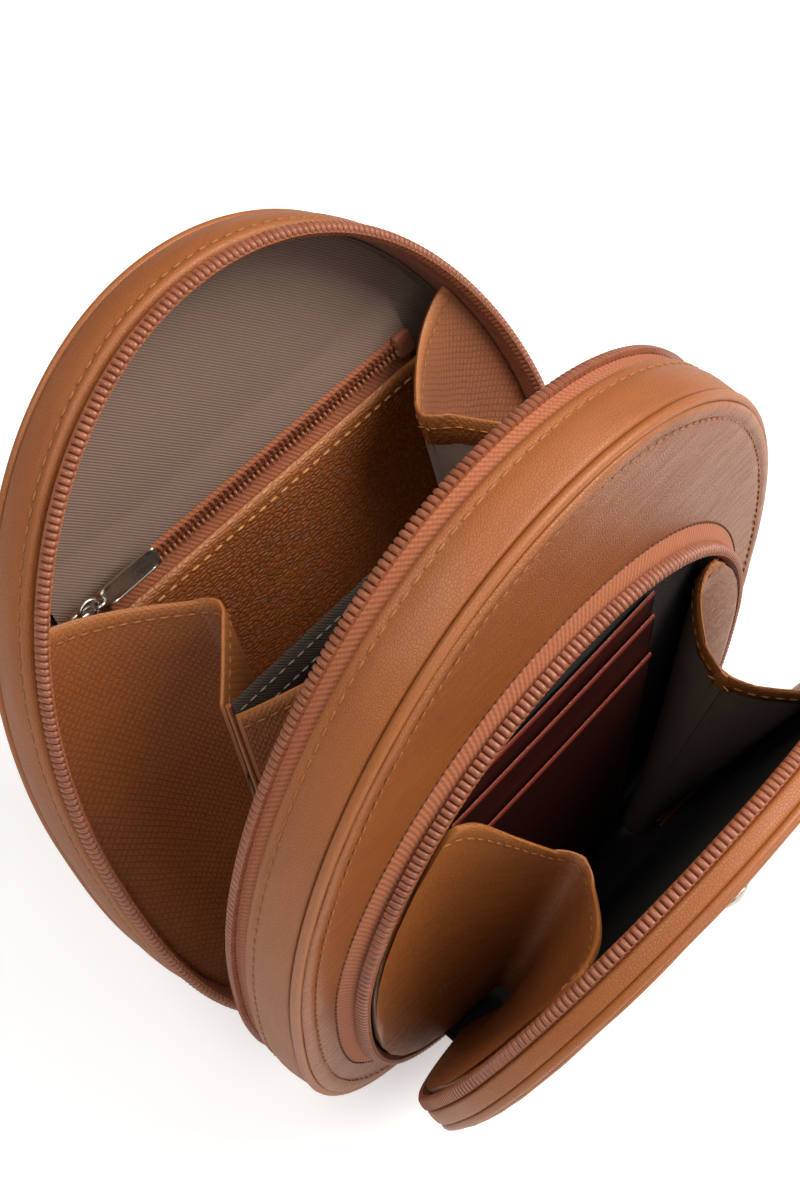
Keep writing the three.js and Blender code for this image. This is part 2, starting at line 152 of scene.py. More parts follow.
def add_node(tree: Tree, kind: str, inputs: dict | None = None, **settings: object) -> bpy.types.Node:
    """Adds one node with its settings, its input values and its links.

    Args:
        tree: The node tree to add to.
        kind: Blender's name for the node.
        inputs: Values or sockets by input name or number.
        **settings: Properties of the node itself.

    Returns:
        The new node.
    """
    node = tree.nodes.new(kind)
    for name, value in settings.items():
        setattr(node, name, value)
    for key, value in (inputs or {}).items():
        if isinstance(value, Socket):
            tree.links.new(value, node.inputs[key])
        else:
            node.inputs[key].default_value = value
    return node


WAVE_PERIOD = 2 * math.pi / 20
MIX_A, MIX_B, MIX_OUT = 6, 7, 2
UNIT = (0.0, 1.0)


@dataclass(frozen=True)
class Brush:
    """Adds nodes to one tree, and gives the outputs that the next nodes take."""

    tree: Tree

    def add(self, kind: str, inputs: dict | None = None, output: int | str = 0, **settings: object) -> Socket:
        """Adds one node and gives one of its outputs."""
        return add_node(self.tree, kind, inputs, **settings).outputs[output]

    def place(self, system: str) -> Socket:
        """The coordinates of one system: UV in millimetres, or Object in metres."""
        return self.add("ShaderNodeTexCoord", output=system)

    def scaled(self, place: Socket, x: float, y: float, z: float) -> Socket:
        """Coordinates scaled along each axis."""
        return self.add("ShaderNodeMapping", {"Vector": place, "Scale": (x, y, z)})

    def turned(self, place: Socket, angle: float) -> Socket:
        """Coordinates turned in their plane by an angle in radians."""
        return self.add("ShaderNodeMapping", {"Vector": place, "Rotation": (0, 0, angle)})

    def clouds(self, place: Socket, size: float, detail: float = 3.0, swirl: float = 0.0) -> Socket:
        """Soft noise with clouds of about a size, in the unit of the coordinates."""
        inputs = {"Vector": place, "Scale": 1 / size, "Detail": detail, "Distortion": swirl}
        return self.add("ShaderNodeTexNoise", inputs, "Fac")

    def waves(self, place: Socket, pitch: float, warp: dict[str, float], along: str = "X") -> Socket:
        """Warped ribs that follow one another along an axis."""
        inputs = {"Vector": place, "Scale": WAVE_PERIOD / pitch, **warp}
        return self.add("ShaderNodeTexWave", inputs, "Fac", bands_direction=along)

    def ranged(self, value: Socket, start: tuple = UNIT, goal: tuple = UNIT, curve: str = "LINEAR") -> Socket:
        """Maps a value from one range to another."""
        ends = dict(zip(("From Min", "From Max", "To Min", "To Max"), (*start, *goal)))
        return self.add("ShaderNodeMapRange", {"Value": value, **ends}, interpolation_type=curve)

    def tinted(self, share: Socket, first: Socket | str, second: Socket | str) -> Socket:
        """Mixes two colours, each a hex colour or an output."""
        a, b = (linear(colour) if isinstance(colour, str) else colour for colour in (first, second))
        return self.add("ShaderNodeMix", {0: share, MIX_A: a, MIX_B: b}, MIX_OUT, data_type="RGBA")

    def mixed(self, share: float, first: Socket, second: Socket) -> Socket:
        """Mixes two heights."""
        return self.add("ShaderNodeMix", {0: share, 2: first, 3: second}, data_type="FLOAT")

    def summed(self, operation: str, *values: Socket | float) -> Socket:
        """Works out one sum of values."""
        return self.add("ShaderNodeMath", dict(enumerate(values)), operation=operation)

    def bump(self, height: Socket, strength: float, depth: float) -> Socket:
        """Turns a height into a bump of a depth in millimetres."""
        inputs = {"Height": height, "Strength": strength, "Distance": depth * MM}
        return self.add("ShaderNodeBump", inputs)


@dataclass(frozen=True)
class Finish:
    """What every finish shares: a name, and a material that is made once."""

    name: str

    def material(self) -> bpy.types.Material:
        """Gives the finish's material, and makes it the first time.

        Returns:
            The material.
        """
        found = bpy.data.materials.get(self.name)
        if found:
            return found
        made = bpy.data.materials.new(self.name)
        made.use_nodes = True
        made.node_tree.nodes.clear()
        brush = Brush(made.node_tree)
        shader = brush.add("ShaderNodeBsdfPrincipled", self.look(brush))
        add_node(brush.tree, "ShaderNodeOutputMaterial", {"Surface": shader})
        return made

    def look(self, brush: Brush) -> dict[str, object]:
        """Draws the finish's pattern, and gives the Principled shader's inputs."""
        raise NotImplementedError


@dataclass(frozen=True)
class GrainLeather(Finish):
    """Tan calf, pressed with a fine grain and waxed: soft gloss, darker valleys with painted shade in the
    creases, pale rolled edges.
    """

    hollow: str = "#87491e"
    body: str = "#9b5725"
    ridge: str = "#a5612f"
    edge: str = "#ab6834"
    pebble: float = 0.55
    wander: float = 0.5
    stretch: float = 1.3
    valley: float = 0.22
    hatch: float = 1.15
    hatch_turn: float = 0.62
    hatch_share: float = 0.0
    crease: float = 0.3
    crease_long: float = 14.0
    crease_high: float = 2.6
    patch: float = 38.0
    grain_depth: float = 0.05
    roughness: float = 0.5
    wax: float = 0.1
    wax_roughness: float = 0.35

    def look(self, brush: Brush) -> dict[str, object]:
        """Builds the grain and creases as one height that drives colour, gloss and bump.

        Args:
            brush: Adds nodes to the material.

        Returns:
            The Principled shader's inputs.
        """
        place = brush.place("UV")
        drawn = brush.scaled(place, 1 / self.crease_long, 1 / self.crease_high, 1)
        folds = brush.clouds(drawn, 1.0, swirl=0.8)
        height = brush.summed("MULTIPLY_ADD", folds, self.crease * 4, self.grain(brush, place))
        tone = brush.ranged(height, (self.crease * 1.2, self.crease * 2.4 + 1))
        # The colour follows the height: the grain's valleys take a darker tone, and the creases' valleys are
        # painted darker as shade
        shade = brush.tinted(tone, self.hollow, self.body)
        patches = brush.clouds(brush.place("Object"), self.patch * MM)
        burnished = brush.tinted(brush.ranged(patches, (0.35, 0.75), (0.0, 0.5)), shade, self.ridge)
        # Rubbed edges are painted paler; on the card slots the paler edge is a painted highlight
        wear_and_highlight = brush.add("ShaderNodeAttribute", output="Fac", attribute_name="edge_wear_and_highlight")
        return {
            "Base Color": brush.tinted(wear_and_highlight, burnished, self.edge),
            "Roughness": brush.ranged(tone, goal=(self.roughness + 0.14, self.roughness - 0.05)),
            "Normal": brush.bump(height, 0.75, self.grain_depth),
            "IOR": 1.46,
            "Coat Weight": self.wax,
            "Coat Roughness": self.wax_roughness,
        }

    def grain(self, brush: Brush, place: Socket) -> Socket:
        """Mixes round pebbles with pressed diamonds.

        Args:
            brush: Adds nodes to the material.
            place: The UV coordinates, in millimetres.

        Returns:
            The grain's height, from 0 in the valleys to 1.
        """
        swirl = {"Vector": place, "Scale": 0.4 / self.pebble, "Detail": 2.0}
        way = brush.add("ShaderNodeTexNoise", swirl, "Color")
        far = (self.wander * self.pebble,) * 3
        bent = brush.add("ShaderNodeVectorMath", {0: way, 1: far, 2: place}, operation="MULTIPLY_ADD")
        drawn = brush.scaled(bent, 1 / self.stretch, 1, 0)
        cells = brush.add(
            "ShaderNodeTexVoronoi", {"Vector": drawn, "Scale": 1 / self.pebble}, "Distance",
            voronoi_dimensions="2D", feature="DISTANCE_TO_EDGE",
        )
        pebbles = brush.ranged(cells, (0.0, self.valley), curve="SMOOTHSTEP")
        rows = [self.ribs(brush, brush.turned(place, turn * self.hatch_turn)) for turn in (1, -1)]
        return brush.mixed(self.hatch_share, pebbles, brush.summed("MINIMUM", *rows))

    def ribs(self, brush: Brush, place: Socket) -> Socket:
        """One set of parallel ribs of the pressed cross grain, from 0 to 1."""
        wave = brush.waves(place, self.hatch, {"Distortion": 2.2, "Detail": 1.0, "Detail Scale": 0.4})
        return brush.ranged(wave, (0.0, 0.55), curve="SMOOTHSTEP")


@dataclass(frozen=True)
class RibbedCloth(Finish):
    """A woven cloth with raised ribs: matt, with a thread's width of light and shade."""

    dark: str = "#645146"
    light: str = "#8b7161"
    fleck: str = "#957b69"
    pitch: float = 0.52
    turn: float = 0.75
    thread_share: float = 0.22
    cloud: float = 1.1
    rib_depth: float = 0.12
    roughness: float = 0.9
    sheen: float = 0.06

    def look(self, brush: Brush) -> dict[str, object]:
        """Draws ribs crossed by finer threads, about twice as wide as real ones so that they show.

        Args:
            brush: Adds nodes to the material.

        Returns:
            The Principled shader's inputs.
        """
        place = brush.turned(brush.place("UV"), self.turn)
        ribs = brush.waves(place, self.pitch, {"Distortion": 0.35, "Detail": 1.0}, "Y")
        threads = brush.waves(place, 0.8 * self.pitch, {"Distortion": 1.5})
        weave = brush.mixed(self.thread_share, ribs, threads)
        mottle = brush.ranged(brush.clouds(brush.place("Object"), self.cloud * MM), (0.62, 1.2))
        return {
            "Base Color": brush.tinted(mottle, brush.tinted(weave, self.dark, self.light), self.fleck),
            "Normal": brush.bump(weave, 0.8, self.rib_depth),
            "Roughness": self.roughness,
            "Sheen Weight": self.sheen,
            "Sheen Roughness": 0.5,
        }


@dataclass(frozen=True)
class Moulded(Finish):
    """Nylon drawn or moulded in one colour, with faint streaks and a soft plastic gloss."""

    dark: str = "#794027"
    light: str = "#a56344"
    roughness: float = 0.34
    streak: float = 3.0
    ior: float = 1.53

    def look(self, brush: Brush) -> dict[str, object]:
        """Streaks the colour and the gloss a little.

        Args:
            brush: Adds nodes to the material.

        Returns:
            The Principled shader's inputs.
        """
        streaks = brush.clouds(brush.place("Object"), self.streak * MM)
        return {
            "Base Color": brush.tinted(streaks, self.dark, self.light),
            "Roughness": brush.ranged(streaks, goal=(self.roughness - 0.08, self.roughness + 0.1)),
            "IOR": self.ior,
        }


@dataclass(frozen=True)
class Plated(Finish):
    """Polished nickel plate on cast zinc: a warm mirror with fine wipe marks."""

    colour: str = "#d8d2c8"
    dull: str = "#b3aba0"
    roughness: float = 0.2
    wipe: float = 0.7

    def look(self, brush: Brush) -> dict[str, object]:
        """Dulls the mirror in fine wipe marks.

        Args:
            brush: Adds nodes to the material.

        Returns:
            The Principled shader's inputs.
        """
        marks = brush.clouds(brush.scaled(brush.place("Object"), 0.15, 1, 1), self.wipe * MM, 4.0)
        return {
            "Base Color": brush.tinted(marks, self.colour, self.dull),
            "Roughness": brush.ranged(marks, goal=(self.roughness, self.roughness + 0.16)),
            "Metallic": 1.0,
        }


@dataclass(frozen=True)
class PaperFloor(Finish):
    """Seamless white paper: matt, and lit to white for the camera, with the shadow kept and a painted shade
    that darkens it near the pouch.
    """

    colour: str = "#f2f1ef"
    fibre: str = "#eae9e6"
    fibre_long: float = 40.0
    shaded_near_glow: float = 0.39
    far_glow: float = 1.0
    near: float = 170.0
    far: float = 560.0

    def look(self, brush: Brush) -> dict[str, object]:
        """Mottles the paper faintly and adds a glow that only the camera sees, weaker near the pouch as
        painted shade.

        Args:
            brush: Adds nodes to the material.

        Returns:
            The Principled shader's inputs.
        """
        place = brush.place("Object")
        fibres = brush.clouds(place, self.fibre_long * MM, 4.0)
        away = brush.add("ShaderNodeVectorMath", {0: place}, "Value", operation="LENGTH")
        # The glow fades towards the pouch, which paints a shade round it
        glow = brush.ranged(away, (self.near * MM, self.far * MM), (self.shaded_near_glow, self.far_glow))
        seen = brush.add("ShaderNodeLightPath", output="Is Camera Ray")
        return {
            "Base Color": brush.tinted(fibres, self.colour, self.fibre),
            "Emission Color": (1, 1, 1, 1),
            "Emission Strength": brush.summed("MULTIPLY", seen, glow),
            "Roughness": 0.9,
            "Specular IOR Level": 0.0,
        }


# Shell leather, waxed nearly smooth, with a fine grain that light from the side brings out
SHELL_LEATHER = GrainLeather("tan_fine_grain_calf")
# The front face creases in short level waves where it is pulled round the pocket, with painted shade in their
# valleys
FACE_LEATHER = GrainLeather(
    "tan_creased_calf", hollow="#733c16", body="#914e1d", ridge="#9c5826", crease=0.85, crease_long=9.0,
    crease_high=1.3, grain_depth=0.075, roughness=0.37,
)
# Bellows leather keeps its pressed diamonds, because nothing stretches it
GUSSET_LEATHER = GrainLeather(
    "tan_diamond_calf", hollow="#6b3613", body="#904c1b", ridge="#9a5623", hatch=1.05, hatch_share=0.72,
    grain_depth=0.14, crease=0.1, pebble=0.9,
)
# The front pocket's bellows is thinner and crumples softly
CRUMPLED_LEATHER = GrainLeather(
    "tan_crumpled_calf", hollow="#74401a", body="#965422", ridge="#a1602c", pebble=0.7, stretch=1.5,
    valley=0.3, crease=0.7, crease_long=8.0, crease_high=2.4, grain_depth=0.1, roughness=0.42,
)
# The inner pocket shows a long pebble with dark valleys
PEBBLE_LEATHER = GrainLeather(
    "tan_pebbled_calf", hollow="#522607", body="#8a4412", ridge="#944e18", pebble=0.8, stretch=2.0,
    valley=0.3, wander=0.8, grain_depth=0.16, crease=0.35, crease_long=7.0, crease_high=1.2, roughness=0.42,
)
# Narrow turned strips are polished smoother than the panels
EDGE_LEATHER = GrainLeather("tan_turned_edge_calf", grain_depth=0.03, crease=0.15, roughness=0.44)
# Glazed oxblood calf, dark, with turned edges painted paler as a painted highlight where they catch the light
CARD_LEATHER = GrainLeather(
    "glazed_oxblood_calf", hollow="#1e0604", body="#310d09", ridge="#3b110c", edge="#7e3020",
    grain_depth=0.03, roughness=0.36, crease=0.1,
)
# Taupe rayon twill, matt, with slanted ribs
TAUPE_TWILL = RibbedCloth("taupe_twill")
# The same twill in near black
DARK_TWILL = RibbedCloth("black_twill", dark="#16100e", light="#2b211d", fleck="#332823", sheen=0.0)
# The twill of the divider: the taupe lining's twill painted darker, as painted shade for the shadow it stands
# in
PAINTED_SHADE_DIVIDER_TWILL = RibbedCloth("taupe_twill_painted_shade", dark="#3f352e", light="#5a4b42", fleck="#625349", sheen=0.0)
# The twill of the pocket's bellows: the pocket's near-black twill painted lighter and greyer, as painted
# light where it hangs in the light
PAINTED_LIT_POCKET_TWILL = RibbedCloth("pocket_twill_painted_lit", dark="#5b4b40", light="#7f6b5d", fleck="#8a7566", sheen=0.0)
# Woven polyester zip tape, dusty coral brown with slanted ribs
ZIP_TAPE = RibbedCloth(
    "coral_brown_zip_tape", dark="#934f2f", light="#b06a45", fleck="#b5714c", pitch=0.85, turn=0.9, sheen=0.1
)
# Nylon filament wound into coil turns, with small highlights on each turn
COIL_NYLON = Moulded("coral_brown_nylon_coil")
# Injection moulded end stop, plain and satin
STOP_ACETAL = Moulded("brown_acetal_stop", dark="#8a5038", light="#9c6046", roughness=0.45)
# Twisted polyester sewing thread, ochre, satin
OCHRE_THREAD = Moulded("ochre_twisted_thread", dark="#ad6f33", light="#cf9350", roughness=0.5, streak=0.5)
# The same thread in the taupe of the divider
TAUPE_THREAD = Moulded("taupe_twisted_thread", dark="#6b6158", light="#978b7e", roughness=0.55, streak=0.5)
# The same thread in dark brown, which reads as the saw-toothed edge of a seam
DARK_THREAD = Moulded("brown_twisted_thread", dark="#3f2110", light="#6a3a1c", roughness=0.6, streak=0.5)
# The same thread in the brown of the leather, for the seams that hardly show
TAN_THREAD = Moulded("tan_twisted_thread", dark="#834a20", light="#ab6c33", roughness=0.55, streak=0.5)
# Nickel plate on the sliders, pulls and stud, a small bright mirror
NICKEL = Plated("polished_nickel_plate")
# Seamless paper under the pouch, white, with a soft shadow and painted shade near the pouch
PAPER_FLOOR = PaperFloor("seamless_white_paper")


@dataclass(frozen=True)
class Hinge:
    """A frame that leans about a line along X: positive lean takes its top towards +Y."""

    y: float
    z: float
    lean: float

    @classmethod
    def of(cls, joint: str, towards: int) -> "Hinge":
        """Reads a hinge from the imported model.

        Args:
            joint: The joint's name. At its upper limit the frame stands upright.
            towards: 1 where the frame leans towards +Y at rest, and -1 towards -Y.

        Returns:
            The hinge at rest.
        """
        found = next(j for j in frame["joints"] if j["name"] == joint)
        _, y, z = (value / MM for value in found["pos_m"])
        return cls(y, z, towards * math.radians(found["range_deg"][1]))

    def place(self, x: float, y: float, z: float, share: float = 1.0) -> Vector:
        """Takes a point of the upright frame to where it is at rest.

        Args:
            x: Along the hinge.
            y: Forward or back of the hinge line.
            z: Above the hinge line.
            share: The share of the lean that the point takes.

        Returns:
            The point in the row frame.
        """
        cos = math.cos(self.lean * share)
        sin = math.sin(self.lean * share)
        return Vector((x, self.y + y * cos + z * sin, self.z - y * sin + z * cos))

    def depth(self) -> Vector:
        """The direction of the frame's own Y at rest."""
        return Vector((0, math.cos(self.lean), -math.sin(self.lean)))

    def up(self) -> Vector:
        """The direction of the frame's own Z at rest."""
        return Vector((0, math.sin(self.lean), math.cos(self.lean)))

    def seat(self, x: float, y: float, z: float) -> "Seat":
        """A seat for a small fitting that faces the front of the frame."""
        return Seat(self.place(x, y, z), X_AXIS, self.up(), -self.depth())


UPRIGHT = Hinge(0, 0, 0)
REAR_HINGE = Hinge.of("rear_hinge", 1)
FLAP_HINGE = Hinge.of("flap_hinge", -1)
DIVIDER_HINGE = Hinge.of("divider_hinge", 1)


@dataclass(frozen=True)
class DomeOutline:
    """A round-topped outline, widest at its spring line, with a flat base."""

    half: float
    spring: float
    rise: float
    drop: float
    top: float
    bottom: float
    floor: float

    def quarter(self, up: bool) -> Pair:
        """The reach and the roundness of the outline above or below its spring line."""
        return (self.rise, self.top) if up else (self.drop, self.bottom)

    @property
    def base(self) -> float:
        """The turn below the spring line at which the outline meets its flat base."""
        return -self.turn_at(self.floor)

    @property
    def whole(self) -> float:
        """The turn of the whole loop, with one unit for the flat base."""
        return math.pi + 2 * self.base + 1

    def high(self, z: float, inset: float = 0.0) -> Pair:
        """How far a height is from the spring line, as a share of the reach, and the roundness there."""
        reach, power = self.quarter(z >= self.spring)
        return abs(z - self.spring) / (reach - inset), power

    def turn_at(self, z: float) -> float:
        """The right-hand turn at height z."""
        share, power = self.high(z)
        return math.copysign(math.asin(share ** (power / 2)), z - self.spring)

    def point(self, turn: float, inset: float) -> Pair:
        """A point of the outline, drawn in by inset.

        Args:
            turn: The angle from the right-hand spring point, over the top. Past the left-hand end of
                the dome one unit crosses the flat base, and then the loop starts again.
            inset: The distance inside the outline.

        Returns:
            The point's x and z.
        """
        end = math.pi + self.base
        if turn > end + 1:
            turn -= self.whole
        if turn > end:
            left = self.point(end, inset)
            right = self.point(-self.base, inset)
            share = turn - end
            return tuple(a + (b - a) * share for a, b in zip(left, right))
        cos, sin = math.cos(turn), math.sin(turn)
        reach, power = self.quarter(sin >= 0)
        x = math.copysign((self.half - inset) * abs(cos) ** (2 / power), cos)
        return x, self.spring + math.copysign((reach - inset) * abs(sin) ** (2 / power), sin)

    def half_width(self, z: float, inset: float) -> float:
        """Half the width at height z, drawn in by inset."""
        share, power = self.high(z, inset)
        return (self.half - inset) * (1 - min(1.0, share) ** power) ** (1 / power)

    def outside(self, x: float, z: float) -> float:
        """About how far a point lies outside the outline, and 0 inside it."""
        share, power = self.high(z)
        return max(0.0, ((abs(x) / self.half) ** power + share**power) ** (1 / power) - 1) * self.half

    def spaced(self, start: float, stop: float, spacing: float, closed: bool) -> list[float]:
        """Turns that lie evenly along the outline.

        Args:
            start: The first turn.
            stop: The last turn.
            spacing: About how far apart they lie.
            closed: Whether the last is left out, because a loop comes back to the first.

        Returns:
            The turns.
        """
        fine = np.linspace(start, stop, FINE_STEPS)
        points = np.array([self.point(t, 0.0) for t in fine])
        length = np.concatenate([[0], np.cumsum(np.linalg.norm(np.diff(points, axis=0), axis=1))])
        count = max(3, round(length[-1] / spacing))
        even = np.linspace(0, length[-1], count, endpoint=not closed)
        return [float(t) for t in np.interp(even, length, fine)]

    def loop(self, spacing: float) -> list[float]:
        """Turns round the whole outline."""
        return self.spaced(-self.base, math.pi + self.base + 1, spacing, True)

    def above(self, z: float, spacing: float) -> list[float]:
        """Turns over the top, between the two points at height z."""
        turn = self.turn_at(z)
        return self.spaced(turn, math.pi - turn, spacing, False)

    def below(self, z: float, spacing: float) -> list[float]:
        """Turns through the base, between the two points at height z."""
        turn = self.turn_at(z)
        return self.spaced(math.pi - turn, self.whole + turn, spacing, False)


BODY_DOME = DomeOutline(68, 77, 88, 78, 2.05, 2.8, 0)
POCKET_DOME = DomeOutline(57, 69.5, 58, 61.5, 2, 2.6, 9)


# Where each kind of wave lies in the noise, so that no two kinds look alike
SLACK_LAYER, SLOW_LAYER, FOLD_LAYER, CLOTH_LAYER = 7.3, 3.1, 8.7, 5.9


def ripple(x: float, z: float, wide: float, high: float, layer: float) -> float:
    """Smooth waves from -1 to 1, of a width and a height, which differ from layer to layer."""
    return noise.noise(Vector((x / wide, layer, z / high)))


@dataclass(frozen=True)
class Shell:
    """A soft shell that follows a dome outline in its hinge's frame."""

    body: Body
    hinge: Hinge
    outline: DomeOutline
    floor_clear: float | None = None
    slack: float = 0.45
    wave: float = 46.0
    firm: float = 30.0

    @classmethod
    def hinged(cls, body: Body, hinge: Hinge, dome: DomeOutline, floor_clear: float | None = None) -> "Shell":
        """A shell whose outline is measured from its hinge line."""
        low = replace(dome, spring=dome.spring - hinge.z, floor=dome.floor - hinge.z)
        return cls(body, hinge, low, floor_clear)

    def outline_at(self, y: float) -> DomeOutline:
        """Finds the outline at a depth: where the shell leans over the floor its underside rises.

        Args:
            y: The depth in the hinge's frame.

        Returns:
            The outline.
        """
        if self.floor_clear is None:
            return self.outline
        sin, cos = math.sin(self.hinge.lean), math.cos(self.hinge.lean)
        floor = max(self.outline.floor, (self.floor_clear - self.hinge.z + y * sin) / cos)
        return replace(self.outline, floor=floor, drop=self.outline.drop - floor + self.outline.floor)

    def at(self, turn: float, inset: float, y: float, shrink: float = 0.0) -> Vector:
        """A point on the shell.

        Args:
            turn: The place along the outline.
            inset: The depth under the outline.
            y: The depth in the hinge's frame.
            shrink: How far towards the middle of the outline, from 0 to 1.

        Returns:
            The point in the row frame, moved a little as soft leather moves.
        """
        outline = self.outline_at(y)
        x, z = outline.point(turn, inset)
        give = self.slack * ripple(x, z, self.wave, self.wave, SLACK_LAYER * len(self.body.value))
        rest = min(1.0, max(0.0, (z - outline.floor) / self.firm))
        x, z = outline.point(turn, max(inset, 0.0) + (min(inset, 0.0) - give) * rest)
        middle = 0.5 * (outline.floor + outline.spring + outline.rise)
        return self.hinge.place(x * (1 - shrink), y, z + (middle - z) * shrink)

    def outward(self, turn: float, y: float) -> Vector:
        """The direction out of the shell."""
        return (self.at(turn, -0.5, y) - self.at(turn, 0.5, y)).normalized()

    def over_top(self, inset: float, y: float, end_z: float) -> Line:
        """A line over the shell's top, down to a height in the hinge's frame on both sides."""
        return [self.at(turn, inset, y) for turn in self.outline.above(end_z, LINE_STEP)]

    def flat(self, point: Vector) -> Pair:
        """A point's place on the shell's own plane, for a pattern that runs level."""
        return point.x, (point - Vector((0, self.hinge.y, self.hinge.z))).dot(self.hinge.up())

    def carry(self, piece: Piece, slot: Slot, *nodes: str) -> None:
        """Ties a finished piece to the shell's body."""
        settle(piece, self.body, slot, *nodes)


MID = Shell(Body.MID, UPRIGHT, BODY_DOME)
REAR = Shell.hinged(Body.REAR, REAR_HINGE, BODY_DOME, 0.2)
POCKET = Shell(Body.MID, UPRIGHT, POCKET_DOME, None, 0.3)
FLAP = Shell.hinged(Body.FLAP, FLAP_HINGE, POCKET_DOME)


def lengths(points: Sequence[Vector]) -> list[float]:
    """The running length along a line of points."""
    gaps = ((b - a).length for a, b in zip(points, points[1:]))
    return list(accumulate(gaps, initial=0.0))


def link(obj: Piece) -> Piece:
    """Puts an object into the scene."""
    bpy.context.scene.collection.objects.link(obj)
    return obj


class Draft:
    """Points, faces, edge wear with painted edge highlights, and a UV map in millimetres, gathered for one
    mesh.
    """

    def __init__(self) -> None:
        """Starts empty."""
        self.points: list[Vector] = []
        self.faces: list[list[int]] = []
        self.uvs: Section = []
        self.wear: list[float] = []

    def face(self, corners: list[int], uvs: Section) -> None:
        """Adds one face with a UV for each corner."""
        self.faces.append(corners)
        self.uvs.extend(uvs)

    def sweep(
        self, rows: Sequence[Line], ends: Ends = Ends.LOOP, ring: bool = True,
        wear: Sequence[float] | None = None, flat: Flat | None = None,
    ) -> "Draft":
        """Joins rows of points into a closed skin.

        Args:
            rows: One row of points for each station, all equally long.
            ends: How the first and the last station are closed.
            ring: Whether each row closes on itself. With poles it doesn't.
            wear: How rubbed each point of a row is, from 0 to 1, and on the card slots' edges how much
                painted highlight it takes.
            flat: Gives a point's UV. Without it the UV follows the two lengths.

        Returns:
            The draft itself.
        """
        first, count, size = len(self.points), len(rows), len(rows[0])
        looped = ends is not Ends.CAPPED
        for row in rows:
            self.points.extend(row)
            self.wear.extend(wear or [0.0] * size)
        along = lengths([row[size // 2] for row in rows] + [rows[0][size // 2]])
        across = lengths([*rows[0], rows[0][0]])
        for i in range(count if looped else count - 1):
            for j in range(size if ring else size - 1):
                corners = [(i, j), (i + 1, j), (i + 1, j + 1), (i, j + 1)]
                index = [first + (a % count) * size + b % size for a, b in corners]
                uvs = [(along[a], across[b]) for a, b in corners]
                if flat:
                    uvs = [flat(self.points[k]) for k in index]
                self.face(index, uvs)
        if ends is Ends.CAPPED:
            self.cap(first, size)
            self.cap(first + (count - 1) * size, size)
        if ends is Ends.POLES:
            for j in (0, size - 1):
                self.pole([first + i * size + j for i in range(count)], flat)
        return self

    def cap(self, start: int, size: int) -> None:
        """Closes a flat ring with a ladder of faces between its two sides.

        Args:
            start: The number of the ring's first point.
            size: The number of its points.
        """
        for j in range((size - 1) // 2):
            rung = dict.fromkeys((j, j + 1, size - 2 - j, size - 1 - j))
            self.face([start + k for k in rung], [(0.0, 0.0)] * len(rung))

    def pole(self, rim: list[int], flat: Flat | None) -> None:
        """Closes a rim with a fan of faces to its middle.

        Args:
            rim: The numbers of the rim's points.
            flat: Gives a point's UV.
        """
        middle = sum((self.points[k] for k in rim), Vector()) / len(rim)
        self.points.append(middle)
        self.wear.append(0.0)
        centre = len(self.points) - 1
        for a, b in zip(rim, rim[1:] + rim[:1]):
            corners = [a, b, centre]
            self.face(corners, [flat(self.points[k]) if flat else (0.0, 0.0) for k in corners])

    def join(self, other: "Draft") -> "Draft":
        """Takes in another draft's skin as a separate closed skin of the same mesh.

        Args:
            other: The other draft.

        Returns:
            The draft itself.
        """
        start = len(self.points)
        self.points.extend(other.points)
        self.wear.extend(other.wear)
        self.uvs.extend(other.uvs)
        self.faces.extend([start + k for k in face] for face in other.faces)
        return self

    def make(self, name: str, finish: Finish, sharp: float = 48.0) -> Piece:
        """Makes the object, with its faces outwards and its soft edges smooth.

        Args:
            name: The piece's name.
            finish: Its finish.
            sharp: The angle, in degrees, past which an edge stays sharp.

        Returns:
            The object, in the scene.
        """
        mesh = bpy.data.meshes.new(name)
        mesh.from_pydata([p * MM for p in self.points], [], self.faces)
        layer = mesh.uv_layers.new(name="UVMap")
        layer.data.foreach_set("uv", [value for uv in self.uvs for value in uv])
        wear_and_highlight = mesh.attributes.new("edge_wear_and_highlight", "FLOAT", "POINT")
        wear_and_highlight.data.foreach_set("value", self.wear)
        shape = bmesh.new()
        shape.from_mesh(mesh)
        bmesh.ops.recalc_face_normals(shape, faces=shape.faces)
        shape.to_mesh(mesh)
        shape.free()
        mesh.shade_smooth()
        mesh.set_sharp_from_angle(angle=math.radians(sharp))
        mesh.materials.append(finish.material())
        return link(bpy.data.objects.new(name, mesh))


def settle(piece: Piece, body: Body | None, slot: Slot, *nodes: str) -> Piece:
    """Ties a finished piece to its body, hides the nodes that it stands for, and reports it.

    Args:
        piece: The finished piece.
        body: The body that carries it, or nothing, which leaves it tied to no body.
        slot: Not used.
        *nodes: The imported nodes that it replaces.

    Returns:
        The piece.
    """
    if body:
        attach(piece, body.value)
    if nodes:
        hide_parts(*nodes)
    stands_for = ", ".join(nodes) or "trim"
    LOG.info("%s: %d faces, stands for %s", piece.name, len(piece.data.polygons), stands_for)
    return piece


